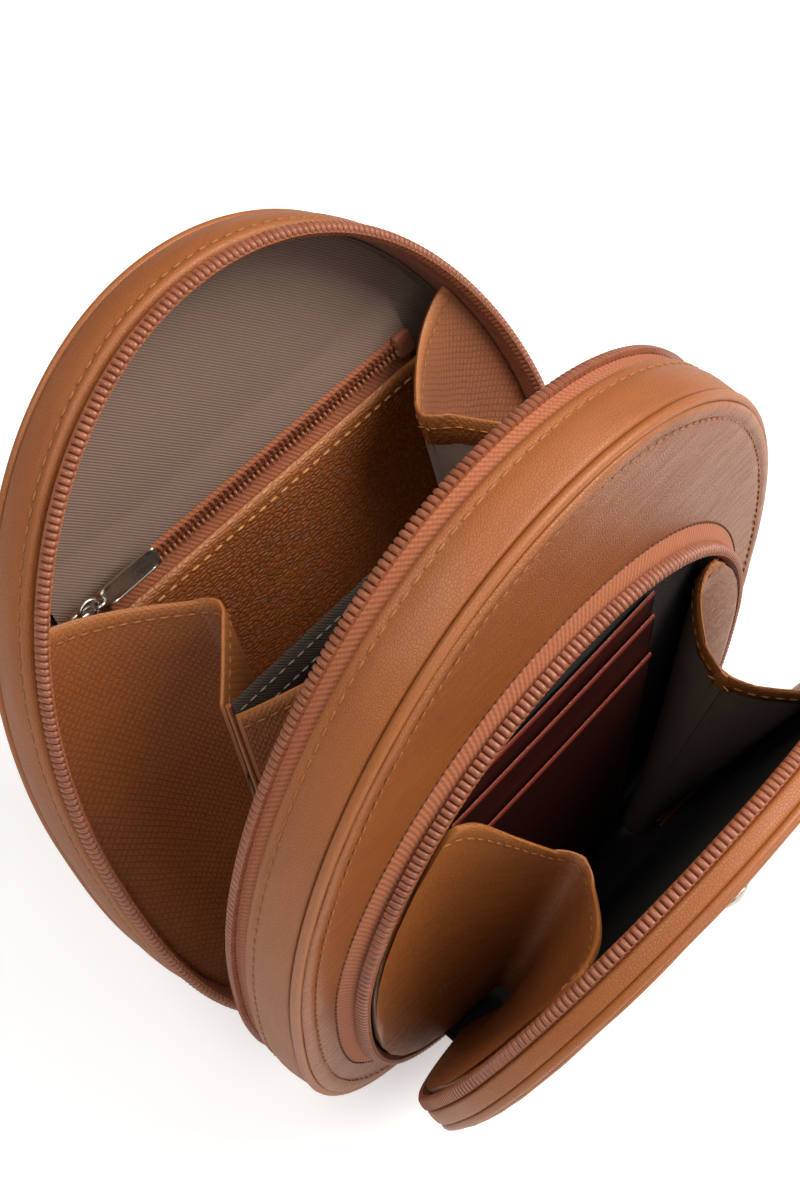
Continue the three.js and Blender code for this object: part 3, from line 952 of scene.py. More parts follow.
class RowTree:
    """A Geometry Nodes tree that repeats one small shape along lines of points."""

    def __init__(self, name: str, sizes: dict[str, str]) -> None:
        """Starts the tree with its inputs.

        Args:
            name: The tree's name.
            sizes: The kind of socket for each named input.
        """
        self.tree = bpy.data.node_groups.new(name, "GeometryNodeTree")
        self.add = Brush(self.tree).add
        face = self.tree.interface
        face.new_socket("Lines", in_out="INPUT", socket_type="NodeSocketGeometry")
        kinds = {"Pitch": "NodeSocketFloat", **sizes, "Finish": "NodeSocketMaterial"}
        self.keys = {
            key: face.new_socket(key, in_out="INPUT", socket_type=kind).identifier
            for key, kind in kinds.items()
        }
        face.new_socket("Row", in_out="OUTPUT", socket_type="NodeSocketGeometry")
        self.given = add_node(self.tree, "NodeGroupInput").outputs

    def close(self, shape: Socket, rotation: Socket) -> None:
        """Sets the shape along the lines, as plain faces with their finish.

        Args:
            shape: The geometry that repeats.
            rotation: How it is turned at each point.
        """
        curve = self.add("GeometryNodeMeshToCurve", {"Mesh": self.given["Lines"]})
        spacing = {"Curve": curve, "Length": self.given["Pitch"]}
        points = self.add("GeometryNodeResampleCurve", spacing, mode="LENGTH")
        placing = {"Points": points, "Instance": shape, "Rotation": rotation}
        placed = self.add("GeometryNodeInstanceOnPoints", placing)
        real = self.add("GeometryNodeRealizeInstances", {"Geometry": placed})
        smooth = self.add("GeometryNodeSetShadeSmooth", {"Geometry": real})
        dressed = self.add("GeometryNodeSetMaterial", {"Geometry": smooth, "Material": self.given["Finish"]})
        add_node(self.tree, "NodeGroupOutput", {"Row": dressed})

    def lay(
        self, name: str, lines: Sequence[Line], finish: Finish, values: dict[str, float | Vector],
        outward: Sequence[Line] | None = None,
    ) -> Piece:
        """Repeats the shape along lines and keeps the result as a plain mesh.

        Args:
            name: The piece's name.
            lines: The lines of points.
            finish: The finish of the shape.
            values: The tree's inputs, in metres.
            outward: The direction out of the surface at each point, where the tree reads it.

        Returns:
            The object, in the scene.
        """
        edges, points = [], []
        for line in lines:
            start = len(points)
            points.extend(p * MM for p in line)
            edges.extend((start + k, start + k + 1) for k in range(len(line) - 1))
        mesh = bpy.data.meshes.new(name)
        mesh.from_pydata(points, edges, [])
        if outward:
            out = mesh.attributes.new("outward", "FLOAT_VECTOR", "POINT")
            out.data.foreach_set("vector", [c for line in outward for v in line for c in v])
        obj = link(bpy.data.objects.new(name, mesh))
        modifier = obj.modifiers.new(self.tree.name, "NODES")
        modifier.node_group = self.tree
        for key, value in {**values, "Finish": finish.material()}.items():
            modifier[self.keys[key]] = value
        seen = obj.evaluated_get(bpy.context.evaluated_depsgraph_get())
        plain = bpy.data.meshes.new_from_object(seen)
        obj.modifiers.remove(modifier)
        obj.data = plain
        plain.name = name
        bpy.data.meshes.remove(mesh)
        return obj


class CoilTree(RowTree):
    """The turns of a nylon zip coil, each wrapped over the edge of its tape."""

    def __init__(self) -> None:
        """Builds one turn as a bent round wire of six sides."""
        vectors = dict.fromkeys(("Outer Leg", "Crown", "Inner Leg", "Depth"), "NodeSocketVector")
        super().__init__("coil turns", {"Wire": "NodeSocketFloat", **vectors})
        add, given = self.add, self.given
        legs = {"Start": given["Outer Leg"], "Middle": given["Crown"], "End": given["Inner Leg"]}
        bend = add("GeometryNodeCurveQuadraticBezier", {"Resolution": 6, **legs})
        ring = add("GeometryNodeCurvePrimitiveCircle", {"Resolution": 6, "Radius": given["Wire"]})
        turn = add("GeometryNodeCurveToMesh", {"Curve": bend, "Profile Curve": ring, "Fill Caps": True})
        deep = add("FunctionNodeAlignRotationToVector", {"Vector": given["Depth"]}, axis="Y")
        out = add("GeometryNodeInputNamedAttribute", {"Name": "outward"}, data_type="FLOAT_VECTOR")
        both = {"Rotation": deep, "Vector": out}
        self.close(turn, add("FunctionNodeAlignRotationToVector", both, axis="Z", pivot_axis="Y"))


class StitchTree(RowTree):
    """A row of sewn stitches: short plump lengths of thread, end to end."""

    def __init__(self) -> None:
        """Builds one stitch as a stretched ball."""
        super().__init__("stitches", {"Long": "NodeSocketFloat", "Thick": "NodeSocketFloat"})
        add, given = self.add, self.given
        ball = add("GeometryNodeMeshUVSphere", {"Segments": 6, "Rings": 6, "Radius": 0.5})
        size = add("ShaderNodeCombineXYZ", {"X": given["Long"], "Y": given["Thick"], "Z": given["Thick"]})
        stitch = add("GeometryNodeTransform", {"Geometry": ball, "Scale": size})
        run = add("GeometryNodeInputTangent")
        self.close(stitch, add("FunctionNodeAlignRotationToVector", {"Vector": run}, axis="X"))


COIL_TREE = CoilTree()
STITCH_TREE = StitchTree()


@dataclass(frozen=True)
class Sewing:
    """One kind of sewing: its pitch, its stitch and its thread."""

    pitch: float = 3.0
    long: float = 2.3
    thick: float = 0.6
    thread: Finish = OCHRE_THREAD

    def lay(self, name: str, *lines: Line) -> Piece:
        """Sews along lines of points."""
        values = {"Pitch": self.pitch * MM, "Long": self.long * MM, "Thick": self.thick * MM}
        return STITCH_TREE.lay(name, lines, self.thread, values)

    def sew(self, name: str, body: Body, *lines: Line) -> None:
        """Sews along lines of points on one body's leather."""
        settle(self.lay(name, *lines), body, Slot.LEATHER)


SEWING = Sewing()
BAND_SEWING = Sewing(thick=0.5, thread=TAN_THREAD)
FINE_SEWING = Sewing(pitch=2.4, long=1.9, thick=0.42, thread=TAN_THREAD)
SEAM_SEWING = Sewing(pitch=2.4, long=1.7, thick=0.42, thread=TAN_THREAD)
EDGE_SEWING = Sewing(pitch=1.6, long=1.1, thick=0.4, thread=DARK_THREAD)


def mixed(a: float, b: float, t: float) -> float:
    """The value a share t of the way from a to b."""
    return a + (b - a) * t


def eased(t: float) -> float:
    """A share from 0 to 1 that starts and ends gently."""
    held = min(1.0, max(0.0, t))
    return held * held * (3 - 2 * held)


def stepped(a: float, b: float, count: int) -> list[float]:
    """The values from a to b in a number of even steps."""
    return [mixed(a, b, k / count) for k in range(count + 1)]


def circle(count: int) -> list[float]:
    """Angles evenly round a circle."""
    return [2 * math.pi * k / count for k in range(count)]


def sign(step: float) -> int:
    """Whether a step goes towards +Y, as 1, or towards -Y, as -1."""
    return 1 if step > 0 else -1


@dataclass(frozen=True)
class Seat:
    """Where a small fitting sits: a point and three square directions."""

    at: Vector
    along: Vector
    across: Vector
    out: Vector

    def point(self, along: float, across: float, out: float) -> Vector:
        """A point in the row frame."""
        return self.at + self.along * along + self.across * across + self.out * out

    def moved(self, along: float, across: float, out: float) -> "Seat":
        """The same directions at another point."""
        return replace(self, at=self.point(along, across, out))

    def rolled(self, angle: float) -> "Seat":
        """The same point, turned about its length so that it faces further across."""
        c, s = math.cos(angle), math.sin(angle)
        return replace(self, across=self.across * c - self.out * s, out=self.out * c + self.across * s)


def lozenge(long: float, wide: float, power: float, taper: float = 0.0, count: int = 36) -> Section:
    """A rounded outline, from round at a power of 2 to nearly square at 6 and more.

    Args:
        long: The whole length.
        wide: The whole width.
        power: How square it is.
        taper: The share of its width that it loses towards its far end.
        count: The number of points.

    Returns:
        The points, along and across.
    """
    points = []
    for angle in circle(count):
        cos, sin = math.cos(angle), math.sin(angle)
        along = math.copysign(abs(cos) ** (2 / power), cos)
        across = math.copysign(abs(sin) ** (2 / power), sin) * (1 - taper * (0.5 + along / 2))
        points.append((along * long / 2, across * wide / 2))
    return points


def puck(seat: Seat, outline: Section, profile: Section) -> Draft:
    """A flat fitting: an outline, and a profile of heights, each with the outline's scale there."""
    rows = [[seat.point(a * scale, c * scale, high) for high, scale in profile] for a, c in outline]
    return Draft().sweep(rows, Ends.POLES, False)


def wire(draft: Draft, path: Line, side: Vector, radius: float, closed: bool) -> Draft:
    """Adds a round wire along a flat path.

    Args:
        draft: The draft to add to.
        path: The points that it follows.
        side: The direction square to the path's plane.
        radius: Half its thickness.
        closed: Whether it comes back to its start.

    Returns:
        The draft itself.
    """
    behind = [path[-1] if closed else path[0], *path[:-1]]
    ahead = [*path[1:], path[0] if closed else path[-1]]
    rows = []
    for before, point, after in zip(behind, path, ahead):
        across = (after - before).normalized().cross(side)
        ring = [side * math.cos(a) + across * math.sin(a) for a in circle(WIRE_SIDES)]
        rows.append([point + way * radius for way in ring])
    return draft.sweep(rows, Ends.LOOP if closed else Ends.CAPPED)


def strip(hinge: Hinge, xs: Sequence[float], rings: Sequence[Section]) -> Draft:
    """Sweeps rings of depths and heights across a hinged frame."""
    rows = [[hinge.place(x, y, z) for y, z in ring] for x, ring in zip(xs, rings)]
    return Draft().sweep(rows, Ends.CAPPED, True, None, REAR.flat)


@dataclass(frozen=True)
class Knot:
    """One point of a section across a shell."""

    inset: float
    y: float
    wear: float = 0.0
    shrink: float = 0.0

    def towards(self, other: "Knot", t: float) -> "Knot":
        """The knot a share t of the way to another."""
        return Knot(*(mixed(a, b, t) for a, b in zip(astuple(self), astuple(other))))


def softened(knots: Sequence[Knot], closed: bool = True) -> list[Knot]:
    """Cuts the corners of a section, so that it bends as leather and cloth do.

    Args:
        knots: The section's corners.
        closed: Whether the last corner joins the first.

    Returns:
        The softer section.
    """
    ahead = [*knots[1:], *(knots[:1] if closed else [])]
    cut = [a.towards(b, t) for a, b in zip(knots, ahead) for t in (0.25, 0.75)]
    return cut if closed else [knots[0], *cut, knots[-1]]


def skin(
    shell: Shell, knots: Sequence[Knot], turns: Sequence[float], ends: Ends = Ends.LOOP,
    level: bool = False, relief: Callable[[Vector], float] | None = None,
) -> Draft:
    """Sweeps a section along a shell's outline.

    Args:
        shell: The shell.
        knots: The section.
        turns: The stations along the outline.
        ends: How the sweep is closed.
        level: Whether the UV map lies level on the shell's own plane.
        relief: Moves a point along the shell's depth, for folds and billows.

    Returns:
        The draft.
    """
    rows = [[shell.at(turn, k.inset, k.y, k.shrink) for k in knots] for turn in turns]
    if relief:
        deep = shell.hinge.depth()
        rows = [[p + deep * relief(p) for p in row] for row in rows]
    wear = [k.wear for k in knots]
    return Draft().sweep(rows, ends, ends is not Ends.POLES, wear, shell.flat if level else None)


@dataclass(frozen=True)
class LeatherBand:
    """A turned leather band round a shell, crowned between its sewn zip edge and the panel seam."""

    shell: Shell
    zip_edge: float
    seam_edge: float
    stitch_in: float | None = 2.3
    crown: float = 0.45
    thick: float = 1.9
    spacing: float = 2.0

    def way(self) -> int:
        """The sign of the step from the zip edge to the seam."""
        return sign(self.seam_edge - self.zip_edge)

    def section(self) -> list[Knot]:
        """Draws a rolled zip edge, a dip under the stitches, a crown, and the seam.

        Returns:
            The band's section.
        """
        wide = abs(self.seam_edge - self.zip_edge)
        turned = min(1.0, wide / 6)
        outer = [(0.0, 1.2, 0.1), (0.3 * turned, 0.35, 0.3), (0.9 * turned, 0.0, 0.15)]
        if self.stitch_in:
            dip = self.stitch_in
            outer += [(dip - 0.7, -0.05, 0.0), (dip, 0.16, 0.0), (dip + 0.7, -0.08, 0.0)]
        outer += [(wide / 2, -self.crown, 0.0), (wide - 1.3 * turned, -0.1, 0.0)]
        outer += [(wide - 0.4 * turned, 0.12, 0.0), (wide, 0.7, 0.0)]
        knots = [Knot(inset, self.zip_edge + self.way() * along, wear) for along, inset, wear in outer]
        return softened([*knots, Knot(self.thick, self.seam_edge), Knot(self.thick, self.zip_edge)])

    def build(self, name: str) -> None:
        """Makes the band of a shell."""
        draft = skin(self.shell, self.section(), self.shell.outline.loop(self.spacing))
        self.shell.carry(draft.make(f"{name}_band_leather", SHELL_LEATHER), Slot.LEATHER, f"{name}_band")

    def stitch_line(self, end_z: float) -> Line:
        """The line of the stitches over the top, down to a height in the hinge's frame."""
        return self.shell.over_top(0.06, self.zip_edge + self.way() * self.stitch_in, end_z)


@dataclass(frozen=True)
class Piping:
    """The rolled bead between a band and a panel."""

    shell: Shell
    y: float
    inset: float = 0.85
    radius: float = 1.0
    sides: int = 12
    spacing: float = 2.0

    def build(self, name: str) -> None:
        """Makes the bead of a shell, a little paler where it is rubbed.

        Args:
            name: The shell's short name.
        """
        knots = []
        for angle in circle(self.sides):
            out, along = math.cos(angle), math.sin(angle)
            knots.append(Knot(self.inset - self.radius * out, self.y + self.radius * along, 0.1 + 0.1 * out))
        draft = skin(self.shell, knots, self.shell.outline.loop(self.spacing))
        self.shell.carry(draft.make(f"{name}_piping_bead", EDGE_LEATHER), Slot.LEATHER, f"{name}_piping")


@dataclass(frozen=True)
class Panel:
    """A leather panel sewn in along its rim, a little fuller towards its middle."""

    shell: Shell
    inner: float
    outer: float
    puff: float
    fold: float
    finish: Finish = SHELL_LEATHER
    rim: float = 1.2
    sewn: float = 4.2
    rings: int = 30
    spacing: float = 2.4
    slow_wide: float = 34.0
    slow_high: float = 30.0
    fold_wide: float = 20.0
    fold_high: float = 5.5
    fold_share: float = 0.55
    flat_in: DomeOutline | None = None
    flat_fade: float = 9.0

    def way(self) -> int:
        """The sign of the step from the inside to the outside."""
        return sign(self.outer - self.inner)

    def relief(self, point: Vector) -> float:
        """Finds how far soft folds lift the panel.

        Args:
            point: A point of the smooth panel.

        Returns:
            The lift along the shell's depth.
        """
        x, z = self.shell.flat(point)
        slow = ripple(x, z, self.slow_wide, self.slow_high, SLOW_LAYER)
        fine = ripple(x, z, self.fold_wide, self.fold_high, FOLD_LAYER)
        free = eased(self.flat_in.outside(x, z) / self.flat_fade) if self.flat_in else 1.0
        return self.fold * free * (slow + self.fold_share * fine)

    def section(self) -> list[Knot]:
        """Draws from the middle of the outer face, round the rim, to the middle of the inner face.

        Returns:
            The panel's section.
        """
        way = self.way()
        face = []
        for share in np.linspace(1.0, 0.0, self.rings):
            full = self.outer + way * self.puff * (1 - (1 - share) ** 2)
            face.append(Knot(self.sewn + 1.2, full, 0.0, float(share)))
        rolled = [
            Knot(self.sewn, self.outer - way * 0.28),
            Knot(self.sewn - 0.9, self.outer + way * 0.12),
            Knot(self.rim + 0.6, self.outer - way * 0.1, 0.3),
            Knot(self.rim, mixed(self.outer, self.inner, 0.5), 0.4),
            Knot(self.rim + 0.4, self.inner),
        ]
        thin = self.inner - self.outer
        lined = [replace(k, y=k.y + thin) for k in reversed(face[:: self.rings // 5])]
        return softened([*face, *rolled, *lined], closed=False)

    def build(self, node: str) -> None:
        """Makes the panel.

        Args:
            node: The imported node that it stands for.
        """
        turns = self.shell.outline.loop(self.spacing)
        draft = skin(self.shell, self.section(), turns, Ends.POLES, True, self.relief)
        self.shell.carry(draft.make(f"{node}_leather", self.finish), Slot.LEATHER, node)

    def stitch_line(self, end_z: float) -> Line:
        """The line of the stitches beside the bead, down to a height in the hinge's frame."""
        return self.shell.over_top(self.sewn, self.outer - self.way() * 0.05, end_z)


@dataclass(frozen=True)
class LiningCup:
    """A shell's cloth lining: one sheet over the panel, turned up along the wall under the zip tape."""

    shell: Shell
    back: float
    rim: float
    finish: Finish
    slot: Slot
    inset: float = 3.1
    thick: float = 0.35
    billow: float = 0.35
    billow_wide: float = 30.0
    billow_high: float = 38.0
    spacing: float = 2.6

    def relief(self, point: Vector) -> float:
        """How far the cloth billows at a point."""
        return self.billow * ripple(*self.shell.flat(point), self.billow_wide, self.billow_high, CLOTH_LAYER)

    def section(self) -> list[Knot]:
        """Draws from the middle of the inside face, up the wall, and back along the hidden face.

        Returns:
            The lining's section.
        """
        way = sign(self.back - self.rim)
        inside = [Knot(self.inset, self.back, 0.0, float(s)) for s in np.linspace(1.0, 0.02, 14)]
        wall = [Knot(self.inset, self.back - way * 0.4), Knot(self.inset, self.rim)]
        hidden_wall = [replace(k, inset=k.inset - self.thick) for k in reversed(wall)]
        hidden = [replace(k, y=k.y + way * self.thick) for k in reversed(inside[::3])]
        return softened([*inside, *wall, *hidden_wall, *hidden], closed=False)

    def build(self, name: str) -> None:
        """Makes the lining of a shell, and works out the area of its cut, which is not kept.

        Args:
            name: The shell's short name.
        """
        turns = self.shell.outline.loop(self.spacing)
        draft = skin(self.shell, self.section(), turns, Ends.POLES, True, self.relief)
        piece = draft.make(f"{name}_lining_twill", self.finish)
        self.shell.carry(piece, self.slot, f"{name}_lining")
        edge = [Vector(self.shell.outline.point(t, self.inset)) for t in [*turns, turns[0]]]
        area = abs(sum(a.x * b.y - b.x * a.y for a, b in zip(edge, edge[1:]))) / 2
        deep = abs(self.back - self.rim)
        area += lengths(edge)[-1] * deep


@dataclass(frozen=True)
class ZipHalf:
    """One side of a coil zip: a woven tape from under the leather to the mouth, and its coil."""

    shell: Shell
    mouth: float
    way: int
    end_z: float
    profile: Profile
    tape_thick: float = 0.5
    tape_spacing: float = 2.0
    coil_in: float = 1.3
    coil_inset: float = 1.1
    pitch: float = 1.34
    wire: float = 0.69

    def build(self, name: str) -> None:
        """Makes the tape and the coil of a shell."""
        self.build_tape(f"{name}_zip_tape")
        self.build_coil(f"{name}_zip_coil")

    def build_tape(self, node: str) -> None:
        """Makes the tape, with the raised sewing line beside the coil.

        Args:
            node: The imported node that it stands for.
        """
        outer = [Knot(inset, self.mouth + self.way * deep) for deep, inset in self.profile]
        inner = [replace(k, inset=k.inset + self.tape_thick) for k in reversed(outer)]
        turns = self.shell.outline.above(self.end_z, self.tape_spacing)
        draft = skin(self.shell, softened([*outer, *inner]), turns, Ends.CAPPED)
        self.shell.carry(draft.make(f"{node}_woven", ZIP_TAPE), Slot.TAPE, node)

    def build_coil(self, node: str) -> None:
        """Winds the coil over the edge of the tape.

        Args:
            node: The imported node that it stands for.
        """
        y = self.mouth + self.way * self.coil_in
        line = self.shell.over_top(self.coil_inset, y, self.end_z)
        outward = [self.shell.outward(turn, y) for turn in self.shell.outline.above(self.end_z, LINE_STEP)]
        values = coil_values(self.pitch, self.wire, self.shell.hinge.depth() * self.way)
        piece = COIL_TREE.lay(f"{node}_turns", [line], COIL_NYLON, values, [outward])
        self.shell.carry(piece, Slot.COIL, node)


def coil_values(pitch: float, wire: float, depth: Vector) -> dict[str, float | Vector]:
    """The coil tree's inputs for a wire of a given radius.

    Args:
        pitch: The distance between turns.
        wire: The wire's radius.
        depth: The direction away from the mouth.

    Returns:
        The inputs, in metres.
    """
    size = wire * MM
    return {
        "Pitch": pitch * MM,
        "Wire": size,
        "Outer Leg": Vector((0, 1.7, 0.85)) * size,
        "Crown": Vector((0, -2.7, 0.6)) * size,
        "Inner Leg": Vector((0, 0.9, -1.5)) * size,
        "Depth": depth,
    }


# The main zip's tape from the mouth inwards: each pair is a depth from the mouth and an inset
MAIN_TAPE = ((0.4, 1.4), (1.9, 1.35), (2.5, 0.95), (3.0, 1.45), (3.7, 1.2), (4.7, 1.5), (5.4, 2.0))


@dataclass(frozen=True)
class MidBody:
    """The middle of the pouch: a leather band and face, lined, with half of the main zip."""

    mouth: float = 8.25
    band_zip: float = 3.25
    band_seam: float = -7.25
    seam: float = -8.25
    face_inner: float = -8.55
    face_outer: float = -9.95
    lining_back: float = -6.65
    lining_rim: float = 0.4
    zip_end: float = 10.0
    seam_end: float = 6.0
    tape: Profile = (*MAIN_TAPE, (9.0, 2.1))

    def build(self) -> None:
        """Makes every piece of the mid body."""
        band = LeatherBand(MID, self.band_zip, self.band_seam)
        band.build("mid")
        Piping(MID, self.seam).build("mid")
        face = Panel(MID, self.face_inner, self.face_outer, 0.0, 0.4, FACE_LEATHER, flat_in=POCKET_DOME)
        face.build("mid_face")
        LiningCup(MID, self.lining_back, self.lining_rim, TAUPE_TWILL, Slot.TAUPE).build("mid")
        ZipHalf(MID, self.mouth, -1, self.zip_end, self.tape).build("mid")
        BAND_SEWING.sew("mid_stitches", Body.MID, band.stitch_line(self.zip_end))
        SEAM_SEWING.sew("mid_face_stitches", Body.MID, face.stitch_line(self.seam_end))


@dataclass(frozen=True)
class FrontPocket:
    """The card pocket on the face: its zip half, black lining and three oxblood card slots."""

    mouth: float = -14.75
    base: float = -9.95
    lining_back: float = -10.5
    lining_rim: float = -13.2
    zip_end: float = 12.0
    tape: Profile = (
        (0.4, 1.4), (1.9, 1.35), (2.3, 0.95), (2.6, 1.3), (3.0, 0.9), (4.0, -0.9), (4.75, -2.4),
    )
    card_tops: tuple[float, ...] = (112.0, 105.5, 93.5)
    card_left: float = -32.0
    card_right: float = 24.0
    card_foot: float = 24.0
    card_back: float = -11.15
    card_step: float = 0.9
    card_thick: float = 0.6
    card_dip: float = 0.5

    def build(self) -> None:
        """Makes every piece of the pocket's back."""
        ZipHalf(POCKET, self.mouth, 1, self.zip_end, self.tape).build("pocket")
        cup = LiningCup(POCKET, self.lining_back, self.lining_rim, DARK_TWILL, Slot.DARK, 2.5, billow=0.1)
        cup.build("pocket")
        seat = POCKET.over_top(-2.5, self.base - 0.1, self.zip_end)
        EDGE_SEWING.sew("pocket_seat_stitches", Body.MID, seat)
        for number, top in enumerate(self.card_tops):
            self.build_card(number, top)

    def build_card(self, number: int, top: float) -> None:
        """Makes one card slot with a rolled top edge that dips a little in the middle.

        Args:
            number: Its place from the back, from 0.
            top: The height of its top edge.
        """
        back = self.card_back - number * self.card_step
        front = back - self.card_thick
        rows = []
        for share in np.linspace(0, 1, 40):
            x = mixed(self.card_left, self.card_right, share)
            high = top - self.card_dip * math.sin(math.pi * share)
            ring = [(front, z) for z in stepped(self.card_foot, high - 1.6, 6)]
            ring += [(front - 0.12, high - 0.8), (front, high - 0.2), (mixed(front, back, 0.5), high)]
            ring += [(back, high - 0.3), (back, self.card_foot)]
            rows.append([Vector((x, y, z)) for y, z in ring])
        # The turned top edge is painted paler, as a painted highlight where it catches the light
        wear = [0.0] * 7 + [0.5, 0.9, 0.9, 0.4, 0.0]
        draft = Draft().sweep(rows, Ends.CAPPED, True, wear, POCKET.flat)
        name = f"card_slot_{number + 1}"
        settle(draft.make(f"{name}_leather", CARD_LEATHER), Body.MID, Slot.CARD, name)


@dataclass(frozen=True)
class RearShell:
    """The rear half: a deep leather shell with half of the main zip, lined in taupe."""

    band_zip: float = 5.0
    band_seam: float = 15.5
    seam: float = 16.5
    seam_end: float = 10.0
    panel_inner: float = 16.8
    panel_outer: float = 18.2
    lining_back: float = 15.0
    lining_rim: float = 10.8
    zip_end: float = 8.0
    tape: Profile = (*MAIN_TAPE, (12.4, 2.1))

    def build(self) -> None:
        """Makes every piece of the rear shell."""
        band = LeatherBand(REAR, self.band_zip, self.band_seam)
        band.build("rear")
        Piping(REAR, self.seam).build("rear")
        panel = Panel(REAR, self.panel_inner, self.panel_outer, 2.4, 0.45)
        panel.build("rear_panel")
        LiningCup(REAR, self.lining_back, self.lining_rim, TAUPE_TWILL, Slot.TAUPE).build("rear")
        ZipHalf(REAR, 0.0, 1, self.zip_end, self.tape).build("rear")
        BAND_SEWING.sew("rear_stitches", Body.REAR, band.stitch_line(self.zip_end))
        SEAM_SEWING.sew("rear_panel_stitches", Body.REAR, panel.stitch_line(self.seam_end))


@dataclass(frozen=True)
class FrontFlap:
    """The pocket's leaning front: a thin leather shell with half of the pocket zip and one stud."""

    band_zip: float = -2.9
    band_seam: float = -6.5
    seam: float = -7.3
    seam_end: float = 4.0
    panel_inner: float = -7.6
    panel_outer: float = -9.0
    lining_back: float = -5.8
    lining_rim: float = -2.8
    zip_end: float = 1.0
    tape: Profile = (
        (0.4, 1.4), (1.8, 1.35), (2.2, 0.75), (2.7, 0.8), (3.1, 1.5), (3.7, 1.95), (6.0, 2.1),
    )
    stud_x: float = -14.0
    stud_z: float = 108.0
    stud_face: float = 3.0
    stud_high: float = 1.3

    def build(self) -> None:
        """Makes every piece of the flap."""
        LeatherBand(FLAP, self.band_zip, self.band_seam, None, 0.15).build("flap")
        Piping(FLAP, self.seam, 0.9, 0.9).build("flap")
        panel = Panel(FLAP, self.panel_inner, self.panel_outer, 1.2, 0.3)
        panel.build("flap_panel")
        cup = LiningCup(FLAP, self.lining_back, self.lining_rim, DARK_TWILL, Slot.DARK, 2.9, billow=0.15)
        cup.build("flap")
        ZipHalf(FLAP, 0.0, -1, self.zip_end, self.tape).build("flap")
        SEAM_SEWING.sew("flap_stitches", Body.FLAP, panel.stitch_line(self.seam_end))
        self.build_stud()

    def build_stud(self) -> None:
        """Makes the plain domed stud near the flap's top."""
        seat = FLAP_HINGE.seat(self.stud_x, self.panel_outer, self.stud_z)
        profile = [(-0.3, 0.8), (0.0, 1.0), (0.35, 1.0), (0.6, 0.9), (1.0, 0.6), (self.stud_high, 0.25)]
        draft = puck(seat, lozenge(2 * self.stud_face, 2 * self.stud_face, 2.0), profile)
        settle(draft.make("flap_stud_nickel", NICKEL, 70.0), Body.FLAP, Slot.METAL, "flap_stud")


